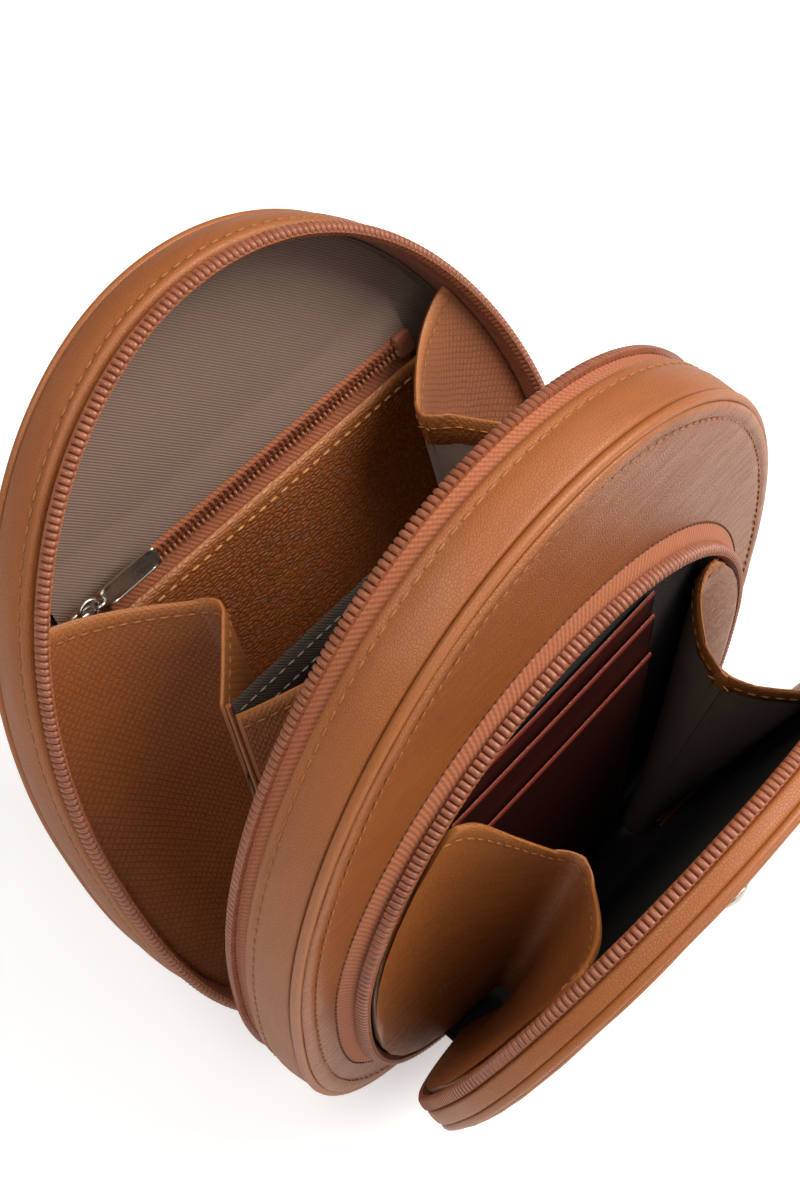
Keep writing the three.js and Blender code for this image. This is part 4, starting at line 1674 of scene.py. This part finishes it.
@dataclass(frozen=True)
class InnerPocket:
    """The flat zipped pocket inside the rear shell."""

    panel_y: float = 12.6
    panel_thick: float = 1.2
    panel_top: float = 110.0
    panel_inset: float = 3.3
    panel_foot: float = 3.0
    puff: float = 1.1
    zip_z: float = 114.6
    zip_half: float = 45.0
    chain_y: float = 13.0
    chain_apart: float = 0.72
    chain_pitch: float = 1.25
    chain_wire: float = 0.4
    tape_half: float = 46.5
    tape_low: float = -6.0
    tape_high: float = 4.0
    tape_y: float = 14.35
    lip_low: float = 2.3
    lip_high: float = 13.0
    lip_half: float = 47.0
    stop_long: float = 4.4
    stop_wide: float = 5.2
    stop_deep: float = 1.6
    stop_in: float = 2.2
    stitch_below: float = 3.0

    def face_y(self, share: float, z: float) -> float:
        """Finds the depth of the panel's front, which puffs out and curls at its upper corners.

        Args:
            share: The share of its half width.
            z: The height.

        Returns:
            The depth in the hinge's frame.
        """
        high = (z - self.panel_foot) / (self.panel_top - self.panel_foot)
        puffed = self.puff * (1 - share**2) * math.sin(math.pi * min(1.0, max(0.0, high)))
        curl = 0.9 * eased((share - 0.72) / 0.28) * eased((high - 0.8) / 0.2)
        return self.panel_y - puffed - curl

    def at(self, share: float, z: float, y: float) -> Vector:
        """A point on the panel: a share of the half width, a height, and a depth."""
        half = REAR.outline_at(y).half_width(z, self.panel_inset)
        return REAR_HINGE.place(share * half, y, z)

    def build(self) -> None:
        """Makes the panel and its zip."""
        self.build_panel()
        self.build_tape()
        self.build_lip()
        self.build_chain()
        self.build_stop()

    def build_panel(self) -> None:
        """Makes the pebbled panel, with a rolled top edge and its row of stitches."""
        top, thick = self.panel_top, self.panel_thick
        heights = stepped(self.panel_foot, top - 2.2, 22)
        rolled = [(top - 1.0, -0.15), (top - 0.3, 0.1), (top, thick / 2)]
        rolled += [(top - 0.3, thick), (top - 6, thick)]
        rows = []
        for share in np.linspace(-1, 1, 72):
            ring = [self.at(share, z, self.face_y(share, z)) for z in heights]
            ring += [self.at(share, z, self.face_y(share, z) + deep) for z, deep in rolled]
            ring += [self.at(share, z, self.panel_y + thick) for z in heights[-8::-6]]
            rows.append(ring)
        wear = [0.0] * (len(heights) - 1) + [0.2, 0.8, 1.0, 1.0, 0.5]
        wear += [0.0] * (len(rows[0]) - len(wear))
        draft = Draft().sweep(rows, Ends.CAPPED, True, wear, REAR.flat)
        piece = draft.make("inner_pocket_panel_leather", PEBBLE_LEATHER)
        settle(piece, Body.REAR, Slot.LEATHER, "inner_pocket_panel")
        sewn = top - self.stitch_below
        line = [self.at(s, sewn, self.face_y(s, sewn) - 0.05) for s in np.linspace(-0.96, 0.96, 60)]
        SEWING.sew("inner_pocket_stitches", Body.REAR, line)

    def build_tape(self) -> None:
        """Makes the zip's two tapes as one strip behind the chain."""
        heights = np.linspace(self.tape_low, self.tape_high, 9)
        front = [(self.tape_y - 0.6 * math.cos(h / self.tape_low), self.zip_z + h) for h in heights]
        ring = front + [(y + 0.35, z) for y, z in reversed(front)]
        xs = np.linspace(-self.tape_half, self.tape_half, 50)
        draft = strip(REAR_HINGE, xs, [ring] * len(xs))
        settle(draft.make("inner_zip_tape_woven", ZIP_TAPE), Body.REAR, Slot.TAPE, "inner_zip_tape")

    def build_lip(self) -> None:
        """Makes the hem of the lining, turned under along the upper side of the chain."""
        low, high = self.zip_z + self.lip_low, self.zip_z + self.lip_high
        deep = self.tape_y - 0.75
        ring = [(deep + 2.0, high), (deep + 0.5, low + 3.5), (deep, low + 0.6), (deep + 0.1, low)]
        ring += [(deep + 0.5, low), (deep + 0.9, low + 3.5), (deep + 2.3, high)]
        xs = np.linspace(-self.lip_half, self.lip_half, 50)
        draft = strip(REAR_HINGE, xs, [ring] * len(xs))
        piece = settle(draft.make("inner_zip_lining_hem", TAUPE_TWILL), Body.REAR, Slot.TAUPE)

    def build_chain(self) -> None:
        """Winds the two small coils that mesh along the zip."""
        pitch = self.chain_pitch
        for name, way in (("upper", 1), ("lower", -1)):
            ends = (-self.zip_half + (pitch / 2 if way > 0 else 0), self.zip_half - self.stop_in)
            z = self.zip_z + way * self.chain_apart
            line = [REAR_HINGE.place(x, self.chain_y, z) for x in np.linspace(*ends, 40)]
            outward = [-REAR_HINGE.depth()] * len(line)
            values = coil_values(pitch, self.chain_wire, REAR_HINGE.up() * way)
            piece = COIL_TREE.lay(f"inner_zip_coil_{name}", [line], COIL_NYLON, values, [outward])
            settle(piece, Body.REAR, Slot.COIL, "inner_zip_coil")

    def build_stop(self) -> None:
        """Makes the moulded block that ends the zip."""
        middle = self.zip_half - self.stop_in + self.stop_long / 2
        seat = REAR_HINGE.seat(middle, self.chain_y + 0.6, self.zip_z)
        profile = [(0.0, 0.9), (0.2, 1.0), (self.stop_deep - 0.5, 1.0), (self.stop_deep, 0.86)]
        draft = puck(seat, lozenge(self.stop_long, self.stop_wide, 6.0), profile)
        piece = draft.make("inner_zip_end_stop_block", STOP_ACETAL)
        settle(piece, Body.REAR, Slot.STOP, "inner_zip_end_stop")


@dataclass(frozen=True)
class Leaf:
    """One leaf of a bellows, from a wall or the divider to the tip of its fold, in the closed pouch.

    Distances across the pouch are from its middle line. A share of 1 is the moving body's turn.
    """

    name: str
    node: str
    hinge: Hinge
    moving: Body
    side: Side
    facing_out: int
    wall: DomeOutline | None
    edge_x: float
    edge_y: float
    edge_share: float
    edge_top: float
    nose_x: float
    nose_y: float
    nose_share: float
    nose_top: float
    bend: float
    bend_way: int
    foot: float
    facing: float
    fall: float
    lap: float
    finish: Finish = GUSSET_LEATHER
    outer: float = 0.55
    inner: float = 0.2
    tuck: float = 0.12
    wall_inset: float = 3.0
    straight: int = 18
    round: int = 9
    sewn_below: float = 3.0

    def heights(self) -> Pair:
        """The blend's own running share at the edge and at the nose."""
        return tuple(0.5 - math.sin(math.asin(1 - 2 * s) / 3) for s in (self.edge_share, self.nose_share))

    def reach(self, share: float) -> float:
        """The distance from the middle line at which the blend's running share has a value."""
        edge, nose = self.heights()
        return self.nose_x + (share - nose) * (self.edge_x - self.nose_x) / (edge - nose)

    def turn(self, x: float) -> float:
        """The share of the moving body's turn at a distance from the middle line."""
        edge, nose = self.heights()
        return eased(nose + (x - self.nose_x) * (edge - nose) / (self.edge_x - self.nose_x))

    def spot(self, station: int, z: float) -> Vector:
        """The leaf's middle at a station, from the edge at 0 to the tip of the fold.

        Args:
            station: The number of the station.
            z: The height in the closed pouch.

        Returns:
            The distance from the middle line, and the depth from the mouth.
        """
        side_y = self.nose_y + self.bend_way * self.bend
        start_x = self.nose_x + self.bend
        if station >= self.straight:
            angle = (station - self.straight) / self.round * (math.pi / 2 + self.lap)
            x = start_x - self.bend * math.sin(angle)
            return Vector((x, mixed(self.nose_y, side_y, math.cos(angle))))
        share = station / self.straight
        edge_x = self.wall.half_width(z, self.wall_inset) if self.wall else self.edge_x
        return Vector((mixed(edge_x, start_x, share), mixed(self.edge_y, side_y, eased(share))))

    def top(self, station: int) -> float:
        """The height of the top edge at a station."""
        return mixed(self.edge_top, self.nose_top, min(1.0, station / self.straight) ** self.fall)

    def is_past(self, station: int) -> bool:
        """Whether a station is past the tip of the fold."""
        return (station - self.straight) * (math.pi / 2 + self.lap) > self.round * (math.pi / 2 + 0.01)

    def place(self, station: int, z: float, out: float) -> Vector:
        """A point of the open leaf. Past the tip of the fold it laps under the next leaf.

        Args:
            station: The number of the station.
            z: The height in the closed pouch.
            out: The distance out of the leaf's middle, towards the outside of the pouch.

        Returns:
            The point in the row frame.
        """
        last = self.straight + self.round
        here = self.spot(station, z)
        run = self.spot(min(last, station + 1), z) - self.spot(max(0, station - 1), z)
        normal = Vector((run.y, -run.x)).normalized() * self.facing_out
        past = self.is_past(station)
        spot = here + normal * (out - self.tuck * past)
        share = self.turn(spot.x)
        if past:
            share = 2 * self.nose_share - share
        return self.hinge.place(self.side.value * spot.x, spot.y, z - self.hinge.z, share)

    def sweep(self, ring: Callable[[float], Section], wear: Sequence[float] | None = None) -> Draft:
        """Sweeps a ring of distances out and heights along the leaf.

        Args:
            ring: Gives the ring for a top height.
            wear: How rubbed each point of the ring is.

        Returns:
            The draft.
        """
        stations = range(self.straight + self.round + 1)
        rows = [[self.place(i, z, out) for out, z in ring(self.top(i))] for i in stations]
        return Draft().sweep(rows, Ends.CAPPED, True, wear)

    def leather_ring(self, top: float) -> Section:
        """Draws the leather: its outer face, a rolled top, and a facing turned down inside.

        Args:
            top: The height of the top edge.

        Returns:
            The ring, as distances out and heights.
        """
        ring = [(self.outer, z) for z in stepped(self.foot, top - 2.6, 12)]
        ring += [(self.outer + 0.05, top - 1.2), (self.outer - 0.1, top - 0.4), (0.05, top)]
        ring += [(-0.5, top - 0.15), (-0.8, top - 0.8)]
        ring += [(-0.85, top - self.facing / 2), (-0.8, top - self.facing)]
        return ring + [(-self.inner, z) for z in stepped(top - self.facing - 0.5, self.foot, 8)]

    def lining_ring(self, top: float) -> Section:
        """The lining: a thin sheet from the foot to under the facing."""
        levels = stepped(self.foot, top - self.facing + 0.6, 10)
        return [(-self.inner - 0.08, z) for z in levels] + [(-self.inner - 0.4, z) for z in reversed(levels)]

    def bend_with_pouch(self, piece: Piece) -> Piece:
        """Bakes a piece of the leaf's placing into its mesh, tied to no body; the two ends worked out here
        are not used.
        """
        ends = [(self.side.value * self.reach(share) * MM, 0, 0) for share in (0, 1)]
        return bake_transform(piece)

    def build(self, lining: Finish, slot: Slot) -> None:
        """Makes the leaf's leather, lining and stitches.

        Args:
            lining: The lining's finish.
            slot: The record's slot for the lining.
        """
        wear = [0.0] * 12 + [0.25, 0.8, 1.0, 1.0, 1.0, 0.6, 0.1] + [0.0] * 10
        leather = self.sweep(self.leather_ring, wear).make(f"{self.name}_leather", self.finish)
        settle(self.bend_with_pouch(leather), None, Slot.LEATHER, self.node)
        cloth = self.sweep(self.lining_ring).make(f"{self.name}_lining", lining)
        settle(self.bend_with_pouch(cloth), None, slot)
        stations = range(1, self.straight + self.round + 1)
        high = self.nose_top - self.facing - self.foot
        wide = lengths([self.place(i, self.foot + high / 2, 0.0) for i in stations])[-1]
        sewn = [i for i in stations if not self.is_past(i)]
        faces = (self.outer + 0.05, -0.9)
        lines = [[self.place(i, self.top(i) - self.sewn_below, out) for i in sewn] for out in faces]
        thread = FINE_SEWING.lay(f"{self.name}_stitches", *lines)
        settle(self.bend_with_pouch(thread), None, Slot.LEATHER)


@dataclass(frozen=True)
class MainBellows:
    """The folded sides of the main compartment: two folds a side, with the divider's edge between."""

    wall_x: float = 52.0
    wall_y: float = 5.9
    wall_top: float = 126.0
    nose_left: float = 27.0
    nose_right: float = 29.5
    nose_y: float = 4.3
    nose_top: float = 116.0
    bend: float = 2.2
    divider_x: float = 41.0
    divider_y: float = 2.1
    divider_top: float = 110.0
    foot: float = 11.0
    facing_left: float = 20.0
    facing_right: float = 7.0
    fall: float = 1.2
    lap: float = 0.45

    def build(self) -> None:
        """Makes the four leaves of each side."""
        for side in Side:
            left = side is Side.LEFT
            nose_x = self.nose_left if left else self.nose_right
            facing = self.facing_left if left else self.facing_right
            for half, way in (("rear", 1), ("front", -1)):
                node = f"{half}_gusset_{side.name.lower()}"
                shares = (1.0, 0.75, 0.5) if way > 0 else (0.0, 0.25, 0.5)
                leaves = (
                    ("wall", BODY_DOME, self.wall_x, self.wall_y, shares[0], self.wall_top, way, self.lap),
                    ("divider", None, self.divider_x, self.divider_y, shares[2], self.divider_top, -way, 0.0),
                )
                for name, wall, edge_x, edge_y, share, top, bend_way, lap in leaves:
                    leaf = Leaf(
                        f"{node}_{name}_leaf", node, REAR_HINGE, Body.REAR, side, -bend_way, wall, edge_x,
                        way * edge_y, share, top, nose_x, way * self.nose_y, shares[1], self.nose_top,
                        self.bend, bend_way, self.foot, facing, self.fall, lap,
                    )
                    leaf.build(TAUPE_TWILL, Slot.TAUPE)


@dataclass(frozen=True)
class PocketFold:
    """How one side of the front pocket's bellows is cut: its fold, and the heights of its top edge."""

    side: Side
    nose_x: float
    nose_y: float
    nose_top: float
    back_top: float
    front_top: float


@dataclass(frozen=True)
class PocketBellows:
    """The folded sides of the front pocket, one fold a side, deeper and taller on the left."""

    folds: tuple[PocketFold, ...] = (
        PocketFold(Side.LEFT, 17.0, -2.0, 94.5, 112.0, 108.0),
        PocketFold(Side.RIGHT, 28.5, 1.0, 96.0, 106.0, 99.5),
    )
    wall_x: float = 39.5
    wall_y: float = 0.6
    bend: float = 2.2
    foot: float = 17.0
    facing: float = 4.6
    fall: float = 2.2
    lap: float = 0.45

    def build(self) -> None:
        """Makes the two leaves of each side."""
        for fold in self.folds:
            node = f"pocket_gusset_{fold.side.name.lower()}"
            leaves = (("back", 1, 0.0, fold.back_top, self.lap), ("front", -1, 1.0, fold.front_top, 0.0))
            for name, way, share, top, lap in leaves:
                leaf = Leaf(
                    f"{node}_{name}_leaf", node, FLAP_HINGE, Body.FLAP, fold.side, -way, POCKET_DOME,
                    self.wall_x, way * self.wall_y, share, top, fold.nose_x, fold.nose_y, 0.5, fold.nose_top,
                    self.bend, way, self.foot, self.facing, self.fall, lap, CRUMPLED_LEATHER,
                )
                # The bellows lining takes the pocket's twill painted lighter, as painted light
                leaf.build(PAINTED_LIT_POCKET_TWILL, Slot.DARK)


@dataclass(frozen=True)
class Divider:
    """The cloth divider between the two folds, with a hemmed and sewn top and bound side edges."""

    half: float = 40.4
    top: float = 109.0
    foot: float = 5.0
    corner: float = 12.0
    thick: float = 1.0
    hem: float = 9.0
    binding_radius: float = 0.55
    sewn_down: tuple[float, ...] = (2.6, 6.8)

    def low(self, x: float) -> float:
        """The height of the lower edge, raised at the corners."""
        return self.foot + max(0.0, abs(x) - (self.half - self.corner))

    def build(self) -> None:
        """Makes the sheet, its stitches and its bound edges."""
        half, hem = self.thick / 2, self.top - self.hem
        xs = np.linspace(-self.half, self.half, 54)
        rings = []
        for x in xs:
            front = [(half - 0.3, z) for z in stepped(self.low(x), hem, 12)]
            front += [(half - 0.1, hem + 0.3), (half + 0.1, self.top - 5), (half, self.top - 0.8)]
            rings.append(front + [(0.0, self.top)] + [(-y, z) for y, z in reversed(front)])
        # The divider's sheet takes the taupe twill painted darker, as painted shade
        sheet = strip(DIVIDER_HINGE, xs, rings).make("divider_twill", PAINTED_SHADE_DIVIDER_TWILL)
        settle(sheet, Body.DIVIDER, Slot.TAUPE, "divider")
        self.build_stitches()
        self.build_binding()

    def build_stitches(self) -> None:
        """Sews the hem with two rows on each face."""
        high = self.thick / 2 + 0.1
        xs = np.linspace(-self.half + 2, self.half - 2, 40)
        lines = [
            [DIVIDER_HINGE.place(x, y, self.top - down) for x in xs]
            for y in (high, -high)
            for down in self.sewn_down
        ]
        sewing = replace(FINE_SEWING, thread=TAUPE_THREAD)
        settle(sewing.lay("divider_stitches", *lines), Body.DIVIDER, Slot.TAUPE)

    def build_binding(self) -> None:
        """Binds the two side edges with rolled leather."""
        draft = Draft()
        for side in Side:
            heights = np.linspace(self.foot + self.corner, self.top, 30)
            path = [DIVIDER_HINGE.place(side.value * (self.half + 0.5), 0, z) for z in heights]
            wire(draft, path, X_AXIS, self.binding_radius, False)
        settle(draft.make("divider_edge_binding", EDGE_LEATHER), Body.DIVIDER, Slot.LEATHER)


@dataclass(frozen=True)
class HingeStrip:
    """A strip under a mouth, of leather outside or lining inside, drawn bent from the still side to a hinged
    shell's lean.
    """

    name: str
    shell: Shell
    still: float
    moving: float
    end_z: float
    thick: float
    inset: float = 0.2
    finish: Finish = EDGE_LEATHER
    slot: Slot = Slot.LEATHER
    nodes: tuple[str, ...] = ()
    steps: int = 12
    spacing: float = 2.0

    def build(self) -> None:
        """Makes the strip, which is tied to no body."""
        hinge = self.shell.hinge
        depths = stepped(self.still, self.moving, self.steps)
        ring = [(self.inset, y) for y in depths] + [(self.inset + self.thick, y) for y in reversed(depths)]
        rows = []
        for turn in self.shell.outline.below(self.end_z, self.spacing):
            row = []
            for inset, y in ring:
                x, z = self.shell.outline_at(y).point(turn, inset)
                row.append(hinge.place(x, y, z, eased((y - self.still) / (self.moving - self.still))))
            rows.append(row)
        piece = Draft().sweep(rows, Ends.CAPPED).make(self.name, self.finish)
        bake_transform(piece)
        settle(piece, None, self.slot, *self.nodes)
        if not self.nodes:
            long = lengths([row[self.steps // 2] for row in rows])[-1]


HINGE_STRIPS = (
    HingeStrip("bottom_hinge_strip_leather", REAR, -4.6, 4.6, 7.0, 1.4, nodes=("bottom_hinge_strip",)),
    HingeStrip("pocket_hinge_strip_leather", FLAP, 4.5, -3.1, 0.0, 0.8, nodes=("pocket_hinge_strip",)),
    HingeStrip("main_floor_lining", REAR, -9.0, 11.6, 9.0, 0.35, 2.6, TAUPE_TWILL, Slot.TAUPE),
    HingeStrip("pocket_floor_lining", FLAP, 4.3, -5.9, 4.5, 0.35, 2.4, DARK_TWILL, Slot.DARK),
)


@dataclass(frozen=True)
class ZipHardware:
    """The three nickel sliders, each with the pull that swings from its bridge."""

    long: float = 9.0
    wide: float = 7.0
    deep: float = 2.6
    ring_radius: float = 2.2
    ring_wire: float = 0.5
    ring_rise: float = 3.6
    tab: Spot = (15.0, 5.0, 1.4)
    inner_tab: Spot = (14.2, 4.0, 1.0)
    inner_x: float = -42.5
    inner_y: float = 12.15
    inner_z: float = 114.6
    parked_main: Spot = (65.04, 8.25, 35.0)
    parked_pocket: Spot = (50.37, -14.75, 27.0)
    parked_bridge: float = 2.0
    inner_roll: float = 0.16
    inner_bridge: float = -1.2
    ring_points: int = 28
    eye_radius: float = 1.25
    eye_wire: float = 0.42

    def build(self) -> None:
        """Makes the inner slider with its ring and pull, and the two parked sliders."""
        seat = REAR_HINGE.seat(self.inner_x, self.inner_y, self.inner_z)
        self.build_slider(seat, self.inner_bridge, "inner_zip_slider", Body.INNER_SLIDER)
        ring = seat.moved(0, self.ring_rise, self.deep + 0.8)
        loop = self.loop(ring, ring.along, ring.across, self.ring_radius)
        draft = wire(Draft(), loop, ring.out, self.ring_wire, True)
        settle(draft.make("inner_zip_ring_nickel", NICKEL), Body.INNER_PULL, Slot.METAL, "inner_zip_ring")
        inner = replace(self, tab=self.inner_tab)
        hung = ring.moved(self.ring_radius, 0, 0).rolled(self.inner_roll)
        inner.build_pull(hung, "inner_zip_pull", Body.INNER_PULL, 0.4)
        self.build_parked("main", self.parked_main, Body.MAIN_PULL)
        self.build_parked("pocket", self.parked_pocket, Body.POCKET_PULL)

    def build_parked(self, name: str, spot: Spot, body: Body) -> None:
        """Makes a slider that is parked on a shell's side, with its pull.

        Args:
            name: The zip's short name.
            spot: The middle of the slider's underside.
            body: The body that carries the pull.
        """
        parked = Seat(Vector(spot), Z_AXIS, Y_AXIS, X_AXIS)
        self.build_slider(parked, self.parked_bridge, f"{name}_zip_slider", Body.MID)
        hung = replace(parked.moved(self.parked_bridge, 0, self.deep + 1.0), along=-Z_AXIS)
        self.build_pull(hung, f"{name}_zip_pull", body, 0.0)

    def loop(self, seat: Seat, first: Vector, second: Vector, radius: float) -> Line:
        """A ring of points in the plane of two directions."""
        turns = [first * math.cos(a) + second * math.sin(a) for a in circle(self.ring_points)]
        return [seat.at + way * radius for way in turns]

    def build_slider(self, seat: Seat, bridge: float, name: str, body: Body) -> None:
        """Makes a slider: two shield plates on a diamond post, with a bridge over the upper one.

        Args:
            seat: The middle of its underside.
            bridge: Where the bridge stands along it.
            name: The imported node's name.
            body: The body that carries it.
        """
        shield = lozenge(self.long, self.wide, 3.2, 0.34)
        draft = puck(seat, shield, [(0.0, 0.9), (0.2, 1.0), (0.75, 1.0), (0.9, 0.94), (0.9, 0.6)])
        post = puck(seat, lozenge(self.long * 0.5, 2.2, 2.0), [(0.6, 1.0), (2.0, 1.0)])
        domed = [(1.7, 0.94), (1.85, 1.0), (2.3, 0.99), (self.deep, 0.84), (self.deep, 0.78)]
        draft.join(post).join(puck(seat, shield, domed))
        low = self.deep - 0.5
        angles = stepped(0.0, math.pi, 14)
        arch = [seat.point(bridge + 2.3 * math.cos(a), 0, low + 2.5 * math.sin(a)) for a in angles]
        wire(draft, arch, seat.across, 0.55, False)
        settle(draft.make(f"{name}_nickel", NICKEL), body, Slot.METAL, name)

    def build_pull(self, seat: Seat, name: str, body: Body, gap: float) -> None:
        """Makes a pull: a flat bar with a raised rim, hung by an eye.

        Args:
            seat: The middle of the eye, with the bar along it.
            name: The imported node's name.
            body: The body that carries it.
            gap: How far past the eye the bar starts.
        """
        reach, wide, thick = self.tab
        loop = self.loop(seat, seat.along, seat.out, self.eye_radius)
        draft = wire(Draft(), loop, seat.across, self.eye_wire, True)
        start = self.eye_radius + gap - 0.6
        long = reach - start + gap
        bar = seat.moved(start + long / 2, 0, -thick / 2)
        rise = [(thick / 2, 1.0), (thick - 0.2, 1.0), (thick, 0.94), (thick, 0.86)]
        rise += [(thick - 0.12, 0.8), (thick - 0.12, 0.74)]
        profile = [(thick - high, scale) for high, scale in reversed(rise)] + rise[1:]
        draft.join(puck(bar, lozenge(long, wide, 7.0, count=48), profile))
        settle(draft.make(f"{name}_nickel", NICKEL, 35.0), body, Slot.METAL, name)


@dataclass(frozen=True)
class Lamp:
    """A large soft lamp that faces the pouch."""

    name: str
    at: Spot
    size: float
    power: float
    colour: str = "#ffffff"


@dataclass(frozen=True)
class Studio:
    """A white floor, soft lamps and the camera at the photograph's angle."""

    eye: Spot = (-144.346, -98.783, 385.060)
    target: Spot = (7.71, 33.54, 83.11)
    lens: float = 56.175
    sensor: float = 36.0
    floor_size: float = 6000.0
    sky: str = "#ffffff"
    sky_low: float = 0.02
    sky_high: float = 0.42
    lamps: tuple[Lamp, ...] = (
        Lamp("key_softbox", (480, -370, 780), 650, 10.5, "#fffaf4"),
        Lamp("left_softbox", (-420, 210, 920), 600, 3.8),
        Lamp("front_softbox", (-200, -820, 700), 700, 3.4),
    )

    def build(self) -> None:
        """Makes the floor, the light and the camera."""
        bpy.context.scene.view_settings.view_transform = "Standard"
        self.build_floor()
        self.build_sky()
        for lamp in self.lamps:
            self.build_lamp(lamp)
        data = bpy.data.cameras.new("camera")
        data.lens = self.lens
        data.sensor_width = self.sensor
        camera = self.aimed(bpy.data.objects.new("camera", data), self.eye)
        bpy.context.scene.camera = camera

    def aimed(self, obj: Piece, at: Spot) -> Piece:
        """Puts a lamp or a camera at a point, turned to the pouch.

        Args:
            obj: The lamp or the camera.
            at: The point.

        Returns:
            The object, in the scene.
        """
        obj.location = Vector(at) * MM
        obj.rotation_euler = (Vector(self.target) - Vector(at)).to_track_quat("-Z", "Y").to_euler()
        return link(obj)

    def build_lamp(self, lamp: Lamp) -> None:
        """Makes one square lamp.

        Args:
            lamp: Its place, size and light.
        """
        data = bpy.data.lights.new(lamp.name, "AREA")
        data.size = lamp.size * MM
        data.energy = lamp.power
        data.color = linear(lamp.colour)[:3]
        self.aimed(bpy.data.objects.new(lamp.name, data), lamp.at)

    def build_floor(self) -> None:
        """Makes the flat floor."""
        half = self.floor_size / 2
        corners = ((-1, -1), (1, -1), (1, 1), (-1, 1))
        draft = Draft()
        draft.points = [Vector((x * half, y * half, 0)) for x, y in corners]
        draft.wear = [0.0] * len(corners)
        draft.face([0, 1, 2, 3], [((x + 1) / 2, (y + 1) / 2) for x, y in corners])
        draft.make("floor", PAPER_FLOOR)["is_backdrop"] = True

    def build_sky(self) -> None:
        """Sets a sky that is white to the camera, and lights the pouch mostly from overhead."""
        world = bpy.data.worlds.new("studio_sky")
        bpy.context.scene.world = world
        world.use_nodes = True
        world.node_tree.nodes.clear()
        brush = Brush(world.node_tree)
        height = brush.add("ShaderNodeSeparateXYZ", {"Vector": brush.place("Generated")}, "Z")
        overhead = brush.ranged(height, goal=(self.sky_low, self.sky_high))
        seen = brush.add("ShaderNodeLightPath", output="Is Camera Ray")
        strength = brush.ranged(seen, goal=(overhead, 1.0))
        sky = brush.add("ShaderNodeBackground", {"Color": linear(self.sky), "Strength": strength})
        add_node(brush.tree, "ShaderNodeOutputWorld", {"Surface": sky})


def write_sizes() -> None:
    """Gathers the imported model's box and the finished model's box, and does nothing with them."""
    boxes = {"cad": CAD_BOX, "visual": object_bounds()}
    {name: [list(corner) for corner in box] for name, box in boxes.items()}


def main() -> None:
    """Builds the pouch piece by piece, then the studio round it."""
    logging.basicConfig(level=logging.INFO, format="%(name)s: %(message)s")
    assemblies = (
        MidBody(), FrontPocket(), RearShell(), InnerPocket(), FrontFlap(),
        Divider(), MainBellows(), PocketBellows(), *HINGE_STRIPS, ZipHardware(),
    )
    for assembly in assemblies:
        assembly.build()
    Studio().build()
    write_sizes()


if __name__ == "__main__":
    main()
